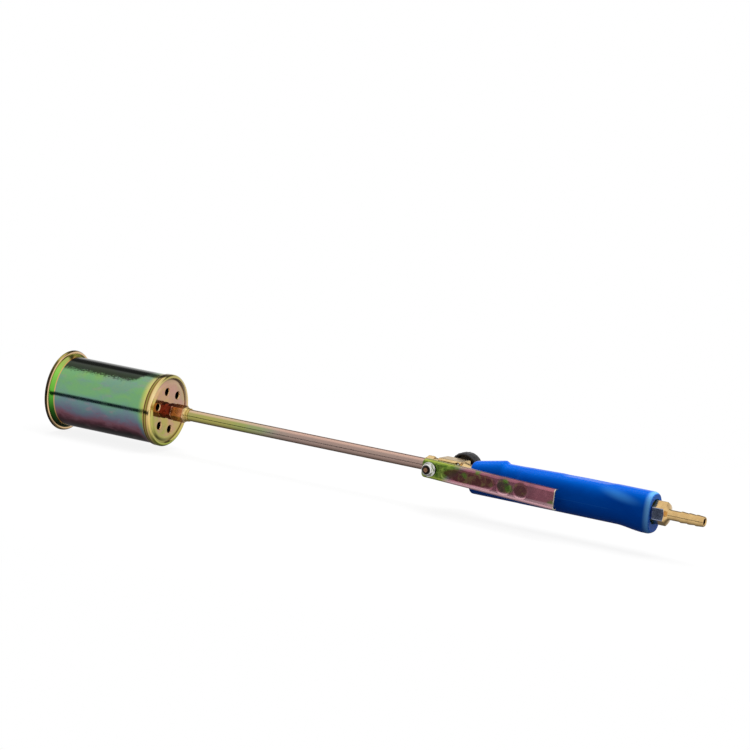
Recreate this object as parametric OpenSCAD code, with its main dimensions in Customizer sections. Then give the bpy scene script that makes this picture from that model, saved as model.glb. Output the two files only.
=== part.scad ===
// Hand-held propane torch: flared burner, long gas tube, brass valve with a regulating
// knob and a squeeze lever, moulded handle and hose barb. Millimetres.
// +X runs from the burner to the hose, the lever faces -Y, the knob +Y, +Z is up.
// The origin is on the barb's axis, at the tip side of its last ridge land.

/* [Burner] */
// Outside diameter of the burner shell
shell_d = 60; // [50:1:76]
// Sheet thickness of the burner shell
shell_wall = 1; // [0.6:0.1:1.6]
// Length of the burner from its mouth to the back plate
burner_len = 106; // [80:0.2:160]
// How far the mouth flares out past the shell
flare_out = 3; // [2:0.1:8]
// Length of the flare along the axis
flare_len = 5; // [4:0.5:16]
// Radius of the rolled bead round the mouth
bead_r = 1.9; // [0.8:0.1:2.4]
// Length of the back plate's skirt over the shell
skirt_len = 6.5; // [4:0.5:12]
// Diameter of each air hole in the back plate
air_hole_d = 6.2; // [3:0.1:8]
// Diameter of the circle that the air holes stand on
air_pcd = 34.2; // [32:0.2:38]
// Number of air holes
air_holes = 6; // [4:1:8]
// Turn of the first air hole from the top towards the lever side
air_phase = 16; // [0:1:59]
// Distance from the back plate to the flame holder
holder_x = 38; // [32:1:60]

/* [Gas tube] */
// Outside diameter of the gas tube
tube_d = 10; // [8:0.1:12]
// Wall of the gas tube and the inlet tube
tube_wall = 1; // [0.6:0.1:1.5]
// Distance from the back plate to the lever bolt
reach = 266.3; // [200:0.1:420]
// Across flats of the nozzle body's hex
nozzle_hex = 13; // [12.5:0.1:17]

/* [Valve] */
// Width and height of the square valve block
block_w = 18; // [18:0.5:24]
// Length of the valve block
block_len = 21; // [18:0.5:30]
// Distance from the lever bolt to the plunger and the spindle
plunger_pitch = 13.2; // [12:0.1:16]
// Diameter of the plunger's stem
plunger_d = 5; // [4:0.1:5.5]
// Running clearance round each sliding stem
stem_clear = 0.05; // [0.02:0.01:0.08]

/* [Knob] */
// Diameter of the regulating knob
knob_d = 26.6; // [20:0.2:30]
// Thickness of the regulating knob
knob_t = 12; // [9:0.5:18]
// Number of grip flutes round the knob
knob_flutes = 24; // [16:2:36]

/* [Lever] */
// Length of the lever
lever_len = 126.4; // [100:0.2:150]
// Width of the lever at its bolt end
lever_front_w = 15.4; // [13.6:0.1:18]
// Width of the lever at its free end
lever_rear_w = 17.2; // [15:0.1:22]
// Depth of the lever's turned-in flanges
lever_depth = 5; // [4:0.1:5.5]
// Sheet thickness of the lever
lever_t = 1.2; // [0.8:0.1:1.4]
// Angle at which the lever stands off the handle at rest
lever_tilt = 3.6; // [3:0.1:4]
// Diameter of the lever bolt
bolt_d = 6; // [5:0.1:6.5]

/* [Handle] */
// Length of the moulded handle
handle_len = 163; // [150:0.5:190]
// Height of the grip at its middle
handle_h = 31.2; // [29:0.2:36]
// Width of the grip behind its shoulder
handle_w = 24.4; // [24:0.1:26]
// Wall of the moulded handle
handle_wall = 2.8; // [2:0.1:3]
// How far the thumb stop rises above the grip
hump_rise = 2; // [0:0.1:4]
// How far the rear end flares down
flare_drop = 2.4; // [0:0.1:6]
// Radius of the rounded rear lip
lip_r = 5; // [4:0.1:8]

/* [Hose barb] */
// Across flats of the rear hex
hex_af = 17; // [15:0.1:18]
// How far the rear hex stands out of the handle
hex_out = 10.7; // [6:0.1:16]
// Diameter over the barb's ridge lands
barb_d = 9.2; // [7:0.1:11]
// Diameter of the barb's plain shank
shank_d = 8.2; // [6.5:0.1:9]
// Bore of the barb and the inlet tube end
barb_bore = 5; // [3:0.1:5.5]
// Distance from one barb ridge to the next
barb_pitch = 6.6; // [5:0.1:9]

/* [Hidden] */
$fn = 64;
seat = 0.3;
steps = 8;

// Places along X, counted from the back plate's rear face
x_bolt = reach;
x_plunger = x_bolt + plunger_pitch;
x_block = x_bolt + 1.2;
x_block_end = x_block + block_len;
tail_len = 9;
socket_len = 9;
x_neck_end = x_block_end + tail_len + socket_len;
x_handle = x_block_end + tail_len;
x_handle_end = x_handle + handle_len;
x_hex_end = x_handle_end + hex_out;
socket_depth = 12;
x_socket = x_handle_end - socket_depth;
washer_t = 1;
shank_len = 12;
land_len = 1.2;
hex_cone = 1.8;
ridges = 3;
x_ridge = x_hex_end + shank_len;
x_origin = x_ridge + (ridges - 1)*barb_pitch + land_len;
x_tip = x_ridge + ridges*barb_pitch + 0.5;

// Burner
shell_r = shell_d/2;
plate_t = 1;
plate_face = -0.6;
rim_r = shell_r + plate_t;
rim_round = 1.9;
bead_x = bead_r + shell_wall/2 - burner_len;
flange_len = 1.5;
neck_len = 5.8;
neck_trim = 0.6;
nozzle_hex_len = 12.2;
hex_turn = -13;
collar_len = 2;
thread_r = 5;
thread_len = 13;
locknut_af = 15;
locknut_t = 4.5;
plate_washer_t = 1.2;
x_locknut = plate_face - plate_t - plate_washer_t - locknut_t;
jet_len = 12;
jet_af = 8;
jet_head = 4;
jet_thread_r = 3;
jet_thread_len = 6;
jet_bore_r = 1.5;
jet_orifice_r = 0.35;
x_jet = plate_face - thread_len;
mixer_wall = 1.4;
mixer_r = thread_r + mixer_wall;
mixer_holes = 4;
mixer_hole_r = 2;
x_mixer_hole = x_jet - 6;
holder_t = 1.2;
holder_dish = 2;
holder_rim = 5;
holder_hub = 3;
holder_band = 6;
holder_holes = 12;
holder_hole_r = 2.4;

// Tube ends and valve
tube_r = tube_d/2;
tube_in = 9;
x_nozzle_end = neck_len + nozzle_hex_len + collar_len;
nut_len = 6.5;
nut_af = 14;
front_boss_r = 6.9;
boss_r = 5;
boss_collar = 0.8;
x_nut = x_bolt - boss_r - boss_collar - 0.1 - nut_len;
x_nut_end = x_nut + nut_len;
ferrule_len = 3;
ferrule_t = 0.8;
outlet_r = 2.5;
chamber_r = 4.2;
chamber_floor = 1.5;
gland_thread_r = 4.6;
gland_af = 10;
gland_in = 4;
gland_head = 3.5;
head_t = 1.5;
seal_t = 0.8;
needle_r = 2.5;
needle_bore_r = 4;
needle_floor = 3.5;
orifice_r = 1;
gland_nut_af = 12;
gland_nut_t = 4.4;
half_block = block_w/2;
knob_y = half_block + gland_nut_t + 0.8;
knob_r = knob_d/2;
spindle_end = knob_y + knob_t - 3;
screw_r = 1.2;
screw_depth = 8;
screw_head_r = 3;
screw_head_t = 1.7;
screw_sink = 2.6;
skirt_depth = 4;
flute_r = 1;
ball_r = 1.6;
ball_x = x_block_end - 2.8;
ball_z = half_block - 2.7;
tail_r = half_block - 0.9;
neck_end_r = 6.2;

// Lever
lever_y = 19;
front_over = 8.4;
dimple_x = [70.5, 86.5];
dimple_depth = 0.3;
panel_x = 36;
panel_len = 50;
corner_r = 3;
lever_gap = 0.1;
lever_droop = 1.2;
bolt_r = bolt_d/2;
boss_end = lever_y - lever_t - 0.75;
dome_r = 14;
dome_t = 1.2;
lever_washer_r = 6;
nut_across = 10;
nut_h = 4.6;
nut_y = lever_y + lever_gap + dome_t + 0.2;
tip_y = lever_y - lever_t/cos(lever_tilt) + plunger_pitch*tan(lever_tilt) - seat;

// Handle
front_round = 3;
half_h = handle_h/2;
half_w = handle_w/2;
front_narrow = 1.5;
hump_end = 26.5;
hump_front = 11;
hump_back = 4;
waist = 1.6;
waist_len = 80;
shoulder_x = 45;
shoulder_len = 3;
squareness = 0.76;
bore_clear = 0.1;
sleeve_r = tube_r + 2.4;
end_wall = 6;
pocket_r = hex_af/2/cos(30) + seat;
rib_t = 2;
front_wall = 8;
lip_angle = 48;
ring_n = 36;
lip_x = handle_len - lip_r*sin(lip_angle);
stations = concat([front_round, 9, 16, 22, hump_end, hump_end + hump_back/2, hump_end + hump_back],
    [for (i = [-1:1]) shoulder_x + shoulder_len*i],
    [for (i = [1:5]) shoulder_x + 6 + (lip_x - 34 - shoulder_x)*i/5],
    [lip_x - 21, lip_x - 15, lip_x - 10, lip_x - 5]);
hollow_stations = [front_wall, 20, 34, shoulder_x, shoulder_x + 8, 90, lip_x - 28, lip_x - 16,
    lip_x - 9, handle_len - end_wall];

// Turns a profile of [radius, x] points about the X axis
module turned() {
    rotate([0, 90, 0]) rotate_extrude() children();
}
// Rod along X from x to x + len
module rod(x, len, r) {
    translate([x, 0, 0]) rotate([0, 90, 0]) cylinder(h = len, r = r);
}
// Tube along X
module pipe(x, len, r, bore) {
    difference() {
        rod(x, len, r);
        rod(x - 1, len + 2, bore);
    }
}
// Hexagonal bar along X with flats facing +Y and -Y, its corners turned down at both ends
module hex_bar(x, len, af, chamfer = 0.6) {
    corner = af/2/cos(30);
    intersection() {
        translate([x, 0, 0]) rotate([0, 90, 0]) cylinder(h = len, r = corner, $fn = 6);
        turned() polygon([[0, x], [corner - chamfer, x], [corner, x + chamfer/2],
            [corner, x + len - chamfer/2], [corner - chamfer, x + len], [0, x + len]]);
    }
}
// Stands children, drawn along +Z, at x with their axis pointing to the lever side
module lever_side(x) {
    translate([x, 0, 0]) rotate([90, 0, 0]) children();
}
// The same, pointing to the knob side
module knob_side(x) {
    translate([x, 0, 0]) rotate([-90, 0, 0]) children();
}
// Moves a piece drawn from the back plate to the part's own origin
module placed() {
    translate([-x_origin, 0, 0]) children();
}
// Rectangle with round corners, centred
module round_rect(w, h, r) {
    square([w - 2*r, h], center = true);
    square([w, h - 2*r], center = true);
    for (sx = [-1, 1], sy = [-1, 1]) translate([sx*(w/2 - r), sy*(h/2 - r)]) circle(r);
}

// One face of the flare: a quarter ellipse from the shell out to the rolled bead
function flare_line(inset) = [for (i = [0:steps]) [
    shell_r - inset + flare_out*(1 - cos(90*i/steps)),
    bead_x - inset + flare_len*(1 - sin(90*i/steps))]];

module burner_shell() color("olivedrab") placed() union() {
    inner = flare_line(shell_wall);
    x_end = plate_face - plate_t;
    turned() polygon(concat([[shell_r - shell_wall, x_end], [shell_r, x_end]], flare_line(0),
        [for (i = [steps:-1:0]) inner[i]]));
    turned() translate([shell_r + flare_out, bead_x - shell_wall/2]) circle(bead_r);
}

module back_plate() color("tan") placed() difference() {
    turned() polygon(concat(
        [[rim_r - plate_t, -skirt_len], [rim_r, -skirt_len]],
        [for (a = [0:15:90]) [rim_r - rim_round*(1 - cos(a)), -rim_round*(1 - sin(a))]],
        [[rim_r - 3, 0], [rim_r - 3.8, plate_face - 0.8], [rim_r - 4.6, plate_face - 0.8],
        [rim_r - 7, plate_face], [thread_r, plate_face], [thread_r, plate_face - plate_t],
        [rim_r - plate_t, plate_face - plate_t]]));
    for (i = [0:air_holes - 1])
        rotate([i*360/air_holes + air_phase, 0, 0]) translate([0, 0, air_pcd/2])
            rod(-4, 6, air_hole_d/2);
}

module plate_washer() color("silver") placed()
    pipe(plate_face - plate_t - plate_washer_t, plate_washer_t, locknut_af/2 + 1.2, thread_r);

module plate_locknut() color("goldenrod") placed() difference() {
    hex_bar(x_locknut, locknut_t, locknut_af);
    rod(x_locknut - 1, locknut_t + 2, thread_r);
}

module nozzle_body() color("peru") placed() difference() {
    union() {
        rod(x_jet, thread_len, thread_r);
        rod(plate_face, flange_len, nozzle_hex/2);
        rod(plate_face, neck_len + 2, nozzle_hex/2 - 1.2);
        rotate([hex_turn, 0, 0]) hex_bar(plate_face + flange_len, neck_len - plate_face - flange_len,
            nozzle_hex - neck_trim, 1);
        rotate([hex_turn, 0, 0]) hex_bar(neck_len, nozzle_hex_len, nozzle_hex, 1);
        rod(neck_len + nozzle_hex_len - 1, collar_len + 1, tube_r + 0.9);
    }
    rod(x_jet - 1, x_nozzle_end - x_jet + 2, outlet_r);
    rod(x_nozzle_end - tube_in, tube_in + 1, tube_r);
    rod(x_jet - 1, jet_thread_len + 1, jet_thread_r);
}

module gas_jet() color("gold") placed() difference() {
    union() {
        rod(x_jet, jet_thread_len, jet_thread_r);
        hex_bar(x_jet - jet_head, jet_head, jet_af, 0.5);
        turned() polygon([[0, x_jet - jet_len], [jet_bore_r, x_jet - jet_len],
            [jet_thread_r, x_jet - jet_head], [0, x_jet - jet_head]]);
    }
    rod(x_jet - 2*jet_head, jet_thread_len + 2*jet_head + 1, jet_bore_r);
    rod(x_jet - jet_len - 1, jet_len, jet_orifice_r);
}

module mixer_tube() color("gray") placed() difference() {
    pipe(-holder_x, holder_x + x_locknut, mixer_r, thread_r);
    for (i = [0:mixer_holes - 1]) rotate([(i + 0.5)*360/mixer_holes, 0, 0])
        translate([x_mixer_hole, 0, 0]) cylinder(h = mixer_r + 1, r = mixer_hole_r);
}

module flame_holder() color("dimgray") placed() difference() {
    x = -holder_x;
    x_dish = x - holder_dish;
    cup_r = shell_r - shell_wall;
    lean = holder_t/4;
    turned() polygon([[thread_r, x - holder_t], [mixer_r + holder_hub, x - holder_t],
        [cup_r - holder_band, x_dish - holder_t], [cup_r - holder_t, x_dish - holder_t],
        [cup_r - holder_t, x_dish - holder_rim], [cup_r, x_dish - holder_rim], [cup_r, x_dish],
        [cup_r - holder_band - lean, x_dish], [mixer_r + holder_hub - lean, x], [thread_r, x]]);
    for (i = [0:holder_holes - 1]) rotate([i*360/holder_holes, 0, 0])
        translate([0, 0, (mixer_r + cup_r)/2])
            rod(x_dish - holder_t - 1, holder_dish + holder_t + 2, holder_hole_r);
}

module gas_tube() color("darkkhaki") placed() {
    x = x_nozzle_end - tube_in;
    pipe(x, x_nut_end - x, tube_r, tube_r - tube_wall);
}

module front_ferrule() color("khaki") placed()
    pipe(x_nozzle_end, 2, tube_r + 0.7, tube_r);

module rear_ferrule() color("gold") placed() turned()
    polygon([[tube_r, x_nut_end - ferrule_len], [tube_r + ferrule_t, x_nut_end - ferrule_len],
        [tube_r + ferrule_t, x_nut_end - 1], [tube_r, x_nut_end]]);

module outlet_nut() color("burlywood") placed() difference() {
    union() {
        hex_bar(x_nut, nut_len, nut_af, 1);
        rod(x_nut - 1.5, 2, tube_r + 1.2);
    }
    rod(x_nut - 2, nut_len + 3, tube_r);
    rod(x_nut_end - ferrule_len, ferrule_len + 1, tube_r + ferrule_t);
}

module valve_body() color("goldenrod") placed() difference() {
    union() {
        rod(x_nut_end, x_block - x_nut_end, front_boss_r);
        translate([x_block, 0, 0]) rotate([90, 0, 90])
            linear_extrude(block_len) round_rect(block_w, block_w, 2);
        turned() polygon([[0, x_block_end], [tail_r, x_block_end],
            [neck_end_r, x_handle - 0.5], [neck_end_r, x_neck_end], [0, x_neck_end]]);
        lever_side(x_bolt) cylinder(h = boss_end, r = boss_r);
        lever_side(x_bolt) cylinder(h = front_boss_r + 2, r = boss_r + boss_collar);
        lever_side(x_plunger) cylinder(h = half_block + 0.8, r = gland_thread_r + 1.2);
        knob_side(x_plunger) cylinder(h = half_block + 0.6, r = gland_nut_af/2);
    }
    rod(x_nut, x_plunger - x_nut, outlet_r);
    rod(x_plunger, x_neck_end - x_plunger, outlet_r);
    rod(x_neck_end - tube_in, tube_in + 1, tube_r);
    lever_side(x_plunger) translate([0, 0, -chamber_floor])
        cylinder(h = half_block + 5, r = chamber_r);
    lever_side(x_plunger) translate([0, 0, half_block + 0.8 - gland_in])
        cylinder(h = gland_in + 1, r = gland_thread_r);
    knob_side(x_plunger) translate([0, 0, needle_floor]) cylinder(h = half_block, r = needle_bore_r);
    knob_side(x_plunger) cylinder(h = needle_floor + 1, r = orifice_r);
    lever_side(x_bolt) translate([0, 0, 3]) cylinder(h = boss_end, r = bolt_r);
    lever_side(ball_x) translate([0, ball_z, half_block - 5]) cylinder(h = 6, r = ball_r);
    lever_side(ball_x) translate([0, ball_z, half_block - 0.6])
        cylinder(h = 0.7, r1 = ball_r, r2 = ball_r + 0.7);
}

module bypass_ball() color("lightgray") placed()
    translate([ball_x, -half_block + 2.4, ball_z]) sphere(ball_r - 0.02);

module gland_nut() color("gold") placed() knob_side(x_plunger) difference() {
    union() {
        translate([0, 0, half_block + 0.6])
            cylinder(h = gland_nut_t - 1, r = gland_nut_af/2/cos(30), $fn = 6);
        translate([0, 0, half_block + gland_nut_t - 0.4]) cylinder(h = 0.4, r = gland_nut_af/2 - 0.5);
        translate([0, 0, half_block - 2]) cylinder(h = 2.6, r = needle_bore_r);
    }
    translate([0, 0, half_block - 3]) cylinder(h = gland_nut_t + 6, r = needle_r + stem_clear);
}

module spindle_seal() color("black") placed() knob_side(x_plunger)
    translate([0, 0, half_block - 2.8]) difference() {
        cylinder(h = 0.8, r = needle_bore_r);
        translate([0, 0, -1]) cylinder(h = 3, r = needle_r + stem_clear);
    }

// The needle's cone stands clear of the orifice by a running fit
module needle_spindle() color("lightgray") placed() knob_side(x_plunger) difference() {
    rotate_extrude() polygon([[0, needle_floor - 1], [orifice_r - 0.4, needle_floor - 1],
        [orifice_r + 0.6, needle_floor + 2], [needle_r, needle_floor + 2.4],
        [needle_r, spindle_end], [0, spindle_end]]);
    translate([0, 0, spindle_end - screw_depth]) cylinder(h = screw_depth + 1, r = screw_r);
}

module knob() color("#1a1a1a") placed() knob_side(x_plunger) difference() {
    translate([0, 0, knob_y]) rotate_extrude() polygon([[0, 0], [knob_r - 1.4, 0], [knob_r - 0.4, 0.6],
        [knob_r, 1.6], [knob_r, knob_t - 2.2], [knob_r - 0.7, knob_t - 0.8], [knob_r - 2.2, knob_t],
        [7, knob_t], [6.4, knob_t - 0.7], [0, knob_t - 0.7]]);
    translate([0, 0, knob_y - 1]) cylinder(h = spindle_end - knob_y + 1, r = needle_r);
    translate([0, 0, knob_y]) cylinder(h = knob_t + 1, r = screw_r + 0.2);
    translate([0, 0, knob_y + knob_t - screw_sink]) cylinder(h = 2*screw_sink, r = screw_head_r + seat);
    translate([0, 0, knob_y - 1]) difference() {
        cylinder(h = skirt_depth + 1, r = knob_r - 2.4);
        cylinder(h = skirt_depth + 2, r = gland_nut_af/2);
    }
    for (i = [0:knob_flutes - 1]) rotate([0, 0, i*360/knob_flutes])
        translate([knob_r + flute_r/2, 0, knob_y - 1])
            cylinder(h = knob_t + 2, r = flute_r, $fn = 24);
}

module knob_screw() color("silver") placed() knob_side(x_plunger) difference() {
    union() {
        translate([0, 0, spindle_end - screw_depth + 1]) cylinder(h = screw_depth, r = screw_r);
        translate([0, 0, knob_y + knob_t - screw_sink]) cylinder(h = screw_head_t, r = screw_head_r);
    }
    for (a = [0, 90]) rotate([0, 0, a])
        translate([-1.9, -0.35, knob_y + knob_t - screw_head_t]) cube([3.8, 0.7, 2]);
}

module plunger_gland() color("gold") placed() lever_side(x_plunger) difference() {
    union() {
        translate([0, 0, half_block + 0.8]) cylinder(h = gland_head, r = gland_af/2/cos(30) - 0.6, $fn = 6);
        translate([0, 0, half_block + 0.8 - gland_in]) cylinder(h = gland_in, r = gland_thread_r);
    }
    translate([0, 0, half_block - 5]) cylinder(h = 16, r = plunger_d/2 + stem_clear);
}

// Outer face of the plunger's head, against the seal under the gland
head_y = half_block + 0.8 - gland_in - seal_t;
module plunger() color("silver") placed() lever_side(x_plunger) rotate_extrude() polygon(concat(
    [[0, head_y - head_t], [3.7, head_y - head_t], [3.7, head_y], [plunger_d/2, head_y],
    [plunger_d/2, tip_y - 1]],
    [for (a = [0:15:90]) [plunger_d/2*cos(a), tip_y - 1 + sin(a)]]));

module plunger_seal() color("black") placed() lever_side(x_plunger)
    translate([0, 0, head_y]) difference() {
        cylinder(h = seal_t, r = 3.9);
        translate([0, 0, -1]) cylinder(h = seal_t + 2, r = plunger_d/2);
    }

spring_wire = 0.35;
spring_r = 2.9;
spring_turns = 3.5;
spring_len = head_y - head_t + chamber_floor;
spring_sides = 8;
spring_rings = 56;
function spring_point(i, j) =
    let (t = i/spring_rings, a = 360*spring_turns*t, b = 360*j/spring_sides,
        r = spring_r + spring_wire*cos(b))
    [r*cos(a), r*sin(a), spring_wire + (spring_len - 2*spring_wire)*t + spring_wire*sin(b)];
module plunger_spring() color("silver") placed() lever_side(x_plunger) translate([0, 0, -chamber_floor])
    polyhedron(
        points = [for (i = [0:spring_rings], j = [0:spring_sides - 1]) spring_point(i, j)],
        faces = concat(
            [[for (j = [0:spring_sides - 1]) j]],
            [[for (j = [spring_sides - 1:-1:0]) spring_rings*spring_sides + j]],
            [for (i = [0:spring_rings - 1], j = [0:spring_sides - 1])
                [i*spring_sides + j, (i + 1)*spring_sides + j,
                (i + 1)*spring_sides + (j + 1)%spring_sides, i*spring_sides + (j + 1)%spring_sides]]));

// Outline of the lever's web from its bolt hole, with round corners at the bolt end
function lever_outline(inset) =
    let (f = lever_front_w/2 - inset, r = lever_rear_w/2 - inset, x0 = inset - front_over,
        x1 = lever_len - front_over, c = max(corner_r - inset, 0.6))
    concat([[x1, r], [x1, -r]],
        [for (a = [270:-15:180]) [x0 + c + c*cos(a), c - f + c*sin(a)]],
        [for (a = [180:-15:90]) [x0 + c + c*cos(a), f - c + c*sin(a)]]);
module lever() color("rosybrown") placed() translate([x_bolt, -lever_y, 0])
    rotate([0, 0, -lever_tilt]) rotate([0, lever_droop, 0]) rotate([-90, 0, 0]) difference() {
        linear_extrude(lever_depth) polygon(lever_outline(0));
        translate([0, 0, lever_t]) linear_extrude(lever_depth)
            polygon(lever_outline(lever_t));
        translate([lever_len - front_over - 1, lever_t - lever_rear_w/2, lever_t])
            cube([2, lever_rear_w - 2*lever_t, lever_depth]);
        translate([-front_over - 1, -lever_front_w, lever_t + 2.3])
            cube([4, 2*lever_front_w, lever_depth]);
        translate([0, 0, -1]) cylinder(h = lever_t + 2, r = bolt_r + 0.45);
        for (x = dimple_x) translate([x, 0, -1])
            linear_extrude(1 + dimple_depth) round_rect(13, 11.4, 5.4);
        translate([panel_x, 0, -1]) linear_extrude(1 + dimple_depth)
            round_rect(panel_len, lever_front_w - 4, 4.5);
    }

module lever_bolt() color("silver") placed() lever_side(x_bolt) translate([0, 0, 4])
    cylinder(h = nut_y + nut_h + 0.8 - 4, r = bolt_r - 0.01);

module lever_washer() color("silver") placed() lever_side(x_bolt) rotate_extrude() {
    y0 = lever_y + lever_gap;
    polygon(concat([for (i = [0:steps]) let (r = bolt_r + 0.3 + (lever_washer_r - bolt_r - 0.3)*i/steps)
        [r, y0 + dome_r - sqrt(dome_r*dome_r - r*r)]],
        [[lever_washer_r, y0 + dome_t + 0.2], [bolt_r + 0.3, y0 + dome_t + 0.2]]));
}

module lever_nut() color("lightgray") placed() lever_side(x_bolt) translate([0, 0, nut_y]) difference() {
    union() {
        intersection() {
            cylinder(h = nut_h - 1.8, r = nut_across/2/cos(30), $fn = 6);
            rotate_extrude() polygon([[0, 0], [nut_across/2, 0], [nut_across/2 + 0.8, 0.6],
                [nut_across/2 + 0.8, nut_h - 2.6], [nut_across/2, nut_h - 1.8], [0, nut_h - 1.8]]);
        }
        translate([0, 0, nut_h - 1.8]) rotate_extrude() polygon([[0, 0], [nut_across/2 - 0.2, 0],
            [nut_across/2 - 0.4, 1.3], [nut_across/2 - 1.1, 1.8], [0, 1.8]]);
    }
    translate([0, 0, -1]) cylinder(h = nut_h + 2, r = bolt_r);
    translate([0, 0, nut_h - 1.5]) cylinder(h = 2, r = bolt_r + 0.7);
}

module nut_insert() color("#202028") placed() lever_side(x_bolt)
    translate([0, 0, nut_y + nut_h - 1.5]) difference() {
        cylinder(h = 1.2, r = bolt_r + 0.7);
        translate([0, 0, -1]) cylinder(h = 4, r = bolt_r);
    }

module inlet_tube() color("darkgoldenrod") placed() {
    x = x_neck_end - tube_in;
    pipe(x, x_socket + washer_t + 6 - x, tube_r, tube_r - tube_wall);
}

// Smooth step from 0 at a to 1 at b
function ease(x, a, b) = let (t = max(0, min(1, (x - a)/(b - a)))) t*t*(3 - 2*t);
// Top line of the grip: it climbs to the thumb stop, drops behind it and swells again
function grip_top(x) = x < hump_end
    ? hump_front + (half_h - waist + hump_rise - hump_front)*x/hump_end
    : half_h - waist*(1 - ease(x, hump_end, hump_end + waist_len))
        + hump_rise*(1 - ease(x, hump_end, hump_end + hump_back));
// Depth of the bottom line, flared at the rear
function grip_low(x) = half_h + flare_drop*ease(x, lip_x - 27, lip_x - 3);
// Half the grip's width, narrower in front of its shoulder
function grip_half(x) =
    half_w - front_narrow*(1 - ease(x, shoulder_x - shoulder_len, shoulder_x + shoulder_len));
// One ring of the grip at x, with the section of the place at, shrunk by inset
function grip_ring(x, at, inset) =
    let (top = grip_top(at) - inset, low = grip_low(at) - inset, w = grip_half(at) - inset)
    [for (k = [0:ring_n - 1]) let (c = cos(360*k/ring_n), s = sin(360*k/ring_n))
        [x, w*sign(c)*pow(abs(c), squareness),
        (top - low)/2 + (top + low)/2*sign(s)*pow(abs(s), squareness)]];
// Closed skin through a list of rings
module loft(rings) {
    n = len(rings[0]);
    m = len(rings);
    polyhedron(
        points = [for (ring = rings, p = ring) p],
        faces = concat(
            [[for (k = [0:n - 1]) k]],
            [[for (k = [n - 1:-1:0]) (m - 1)*n + k]],
            [for (i = [0:m - 2], k = [0:n - 1])
                [i*n + k, (i + 1)*n + k, (i + 1)*n + (k + 1)%n, i*n + (k + 1)%n]]));
}
module handle() color("royalblue") placed() difference() {
    translate([x_handle, 0, 0]) loft(concat(
        [for (a = [90:-30:30]) grip_ring(front_round*(1 - sin(a)), front_round,
            front_round*(1 - cos(a)))],
        [for (x = stations) grip_ring(x, x, 0)],
        [for (i = [0:5]) let (a = lip_angle*i/5)
            grip_ring(lip_x + lip_r*sin(a), lip_x, lip_r*(1 - cos(a)))]));
    difference() {
        translate([x_handle, 0, 0]) loft([for (x = hollow_stations)
            grip_ring(x, min(x, lip_x), handle_wall)]);
        rod(x_handle, x_socket - x_handle, sleeve_r);
        for (a = [0:90:270]) rotate([a, 0, 0]) translate([x_handle, -rib_t/2, 0])
            cube([x_socket - x_handle - 6, rib_t, handle_h]);
    }
    rod(x_handle - 1, handle_len, tube_r + bore_clear);
    rod(x_handle_end - end_wall - 1, end_wall + 2, pocket_r);
    rod(x_handle - 1, x_neck_end - x_handle + 1, neck_end_r + bore_clear);
}

module end_washer() color("silver") placed()
    pipe(x_socket, washer_t, sleeve_r + 0.8, tube_r + bore_clear);

module hose_barb() color("goldenrod") placed() difference() {
    union() {
        hex_bar(x_socket + washer_t, x_hex_end - x_socket - washer_t, hex_af, 1.4);
        turned() polygon(concat([[0, x_hex_end - 1], [hex_af/2, x_hex_end - 1], [hex_af/2, x_hex_end],
            [shank_d/2, x_hex_end + hex_cone]],
            [for (i = [0:ridges - 1], p = [[shank_d/2, 0], [barb_d/2, 0], [barb_d/2, land_len],
                [shank_d/2 + 0.02, barb_pitch - 0.02]]) [p[0], x_ridge + i*barb_pitch + p[1]]],
            [[shank_d/2 - 0.3, x_tip], [0, x_tip]]));
    }
    rod(x_socket, x_tip - x_socket + 1, barb_bore/2);
    rod(x_socket, washer_t + 6, tube_r);
    rod(x_tip - 0.6, 1, barb_bore/2 + 0.5);
}

burner_shell();
back_plate();
plate_washer();
plate_locknut();
nozzle_body();
gas_jet();
mixer_tube();
flame_holder();
gas_tube();
front_ferrule();
rear_ferrule();
outlet_nut();
valve_body();
bypass_ball();
gland_nut();
spindle_seal();
needle_spindle();
knob();
knob_screw();
plunger_gland();
plunger();
plunger_seal();
plunger_spring();
lever();
lever_bolt();
lever_washer();
lever_nut();
nut_insert();
inlet_tube();
handle();
end_washer();
hose_barb();
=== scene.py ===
# Looks of a hand-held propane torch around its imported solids. The file is laid out as an
# add-on and is run as a script. Lengths in the tables are millimetres, counted along X from
# the burner's back plate, as in the part's source; meshes are stored in metres.
from math import atan2, cos, hypot, pi, radians, sin, sqrt

import bmesh
import bpy
from bpy.props import FloatProperty, FloatVectorProperty, IntProperty
from mathutils import Matrix, Vector


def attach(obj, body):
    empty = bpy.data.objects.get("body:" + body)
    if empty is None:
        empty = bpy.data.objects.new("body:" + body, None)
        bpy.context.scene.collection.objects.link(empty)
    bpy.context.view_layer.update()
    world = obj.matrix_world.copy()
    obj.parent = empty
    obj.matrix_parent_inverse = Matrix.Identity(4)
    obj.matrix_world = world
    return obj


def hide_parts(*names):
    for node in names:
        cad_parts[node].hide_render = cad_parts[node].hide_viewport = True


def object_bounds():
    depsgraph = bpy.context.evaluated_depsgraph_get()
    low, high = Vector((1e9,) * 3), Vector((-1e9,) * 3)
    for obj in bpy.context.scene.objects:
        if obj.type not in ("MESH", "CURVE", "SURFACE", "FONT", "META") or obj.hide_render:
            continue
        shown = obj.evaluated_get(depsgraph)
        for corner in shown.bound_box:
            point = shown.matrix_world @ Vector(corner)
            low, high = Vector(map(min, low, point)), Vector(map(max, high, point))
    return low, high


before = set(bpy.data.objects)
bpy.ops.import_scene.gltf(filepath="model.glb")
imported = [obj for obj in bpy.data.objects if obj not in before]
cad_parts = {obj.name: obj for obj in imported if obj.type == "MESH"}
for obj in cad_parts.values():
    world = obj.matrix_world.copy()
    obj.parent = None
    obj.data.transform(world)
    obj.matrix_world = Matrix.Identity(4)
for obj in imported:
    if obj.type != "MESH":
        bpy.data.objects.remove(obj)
cad_box = [list(corner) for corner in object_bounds()]

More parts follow.
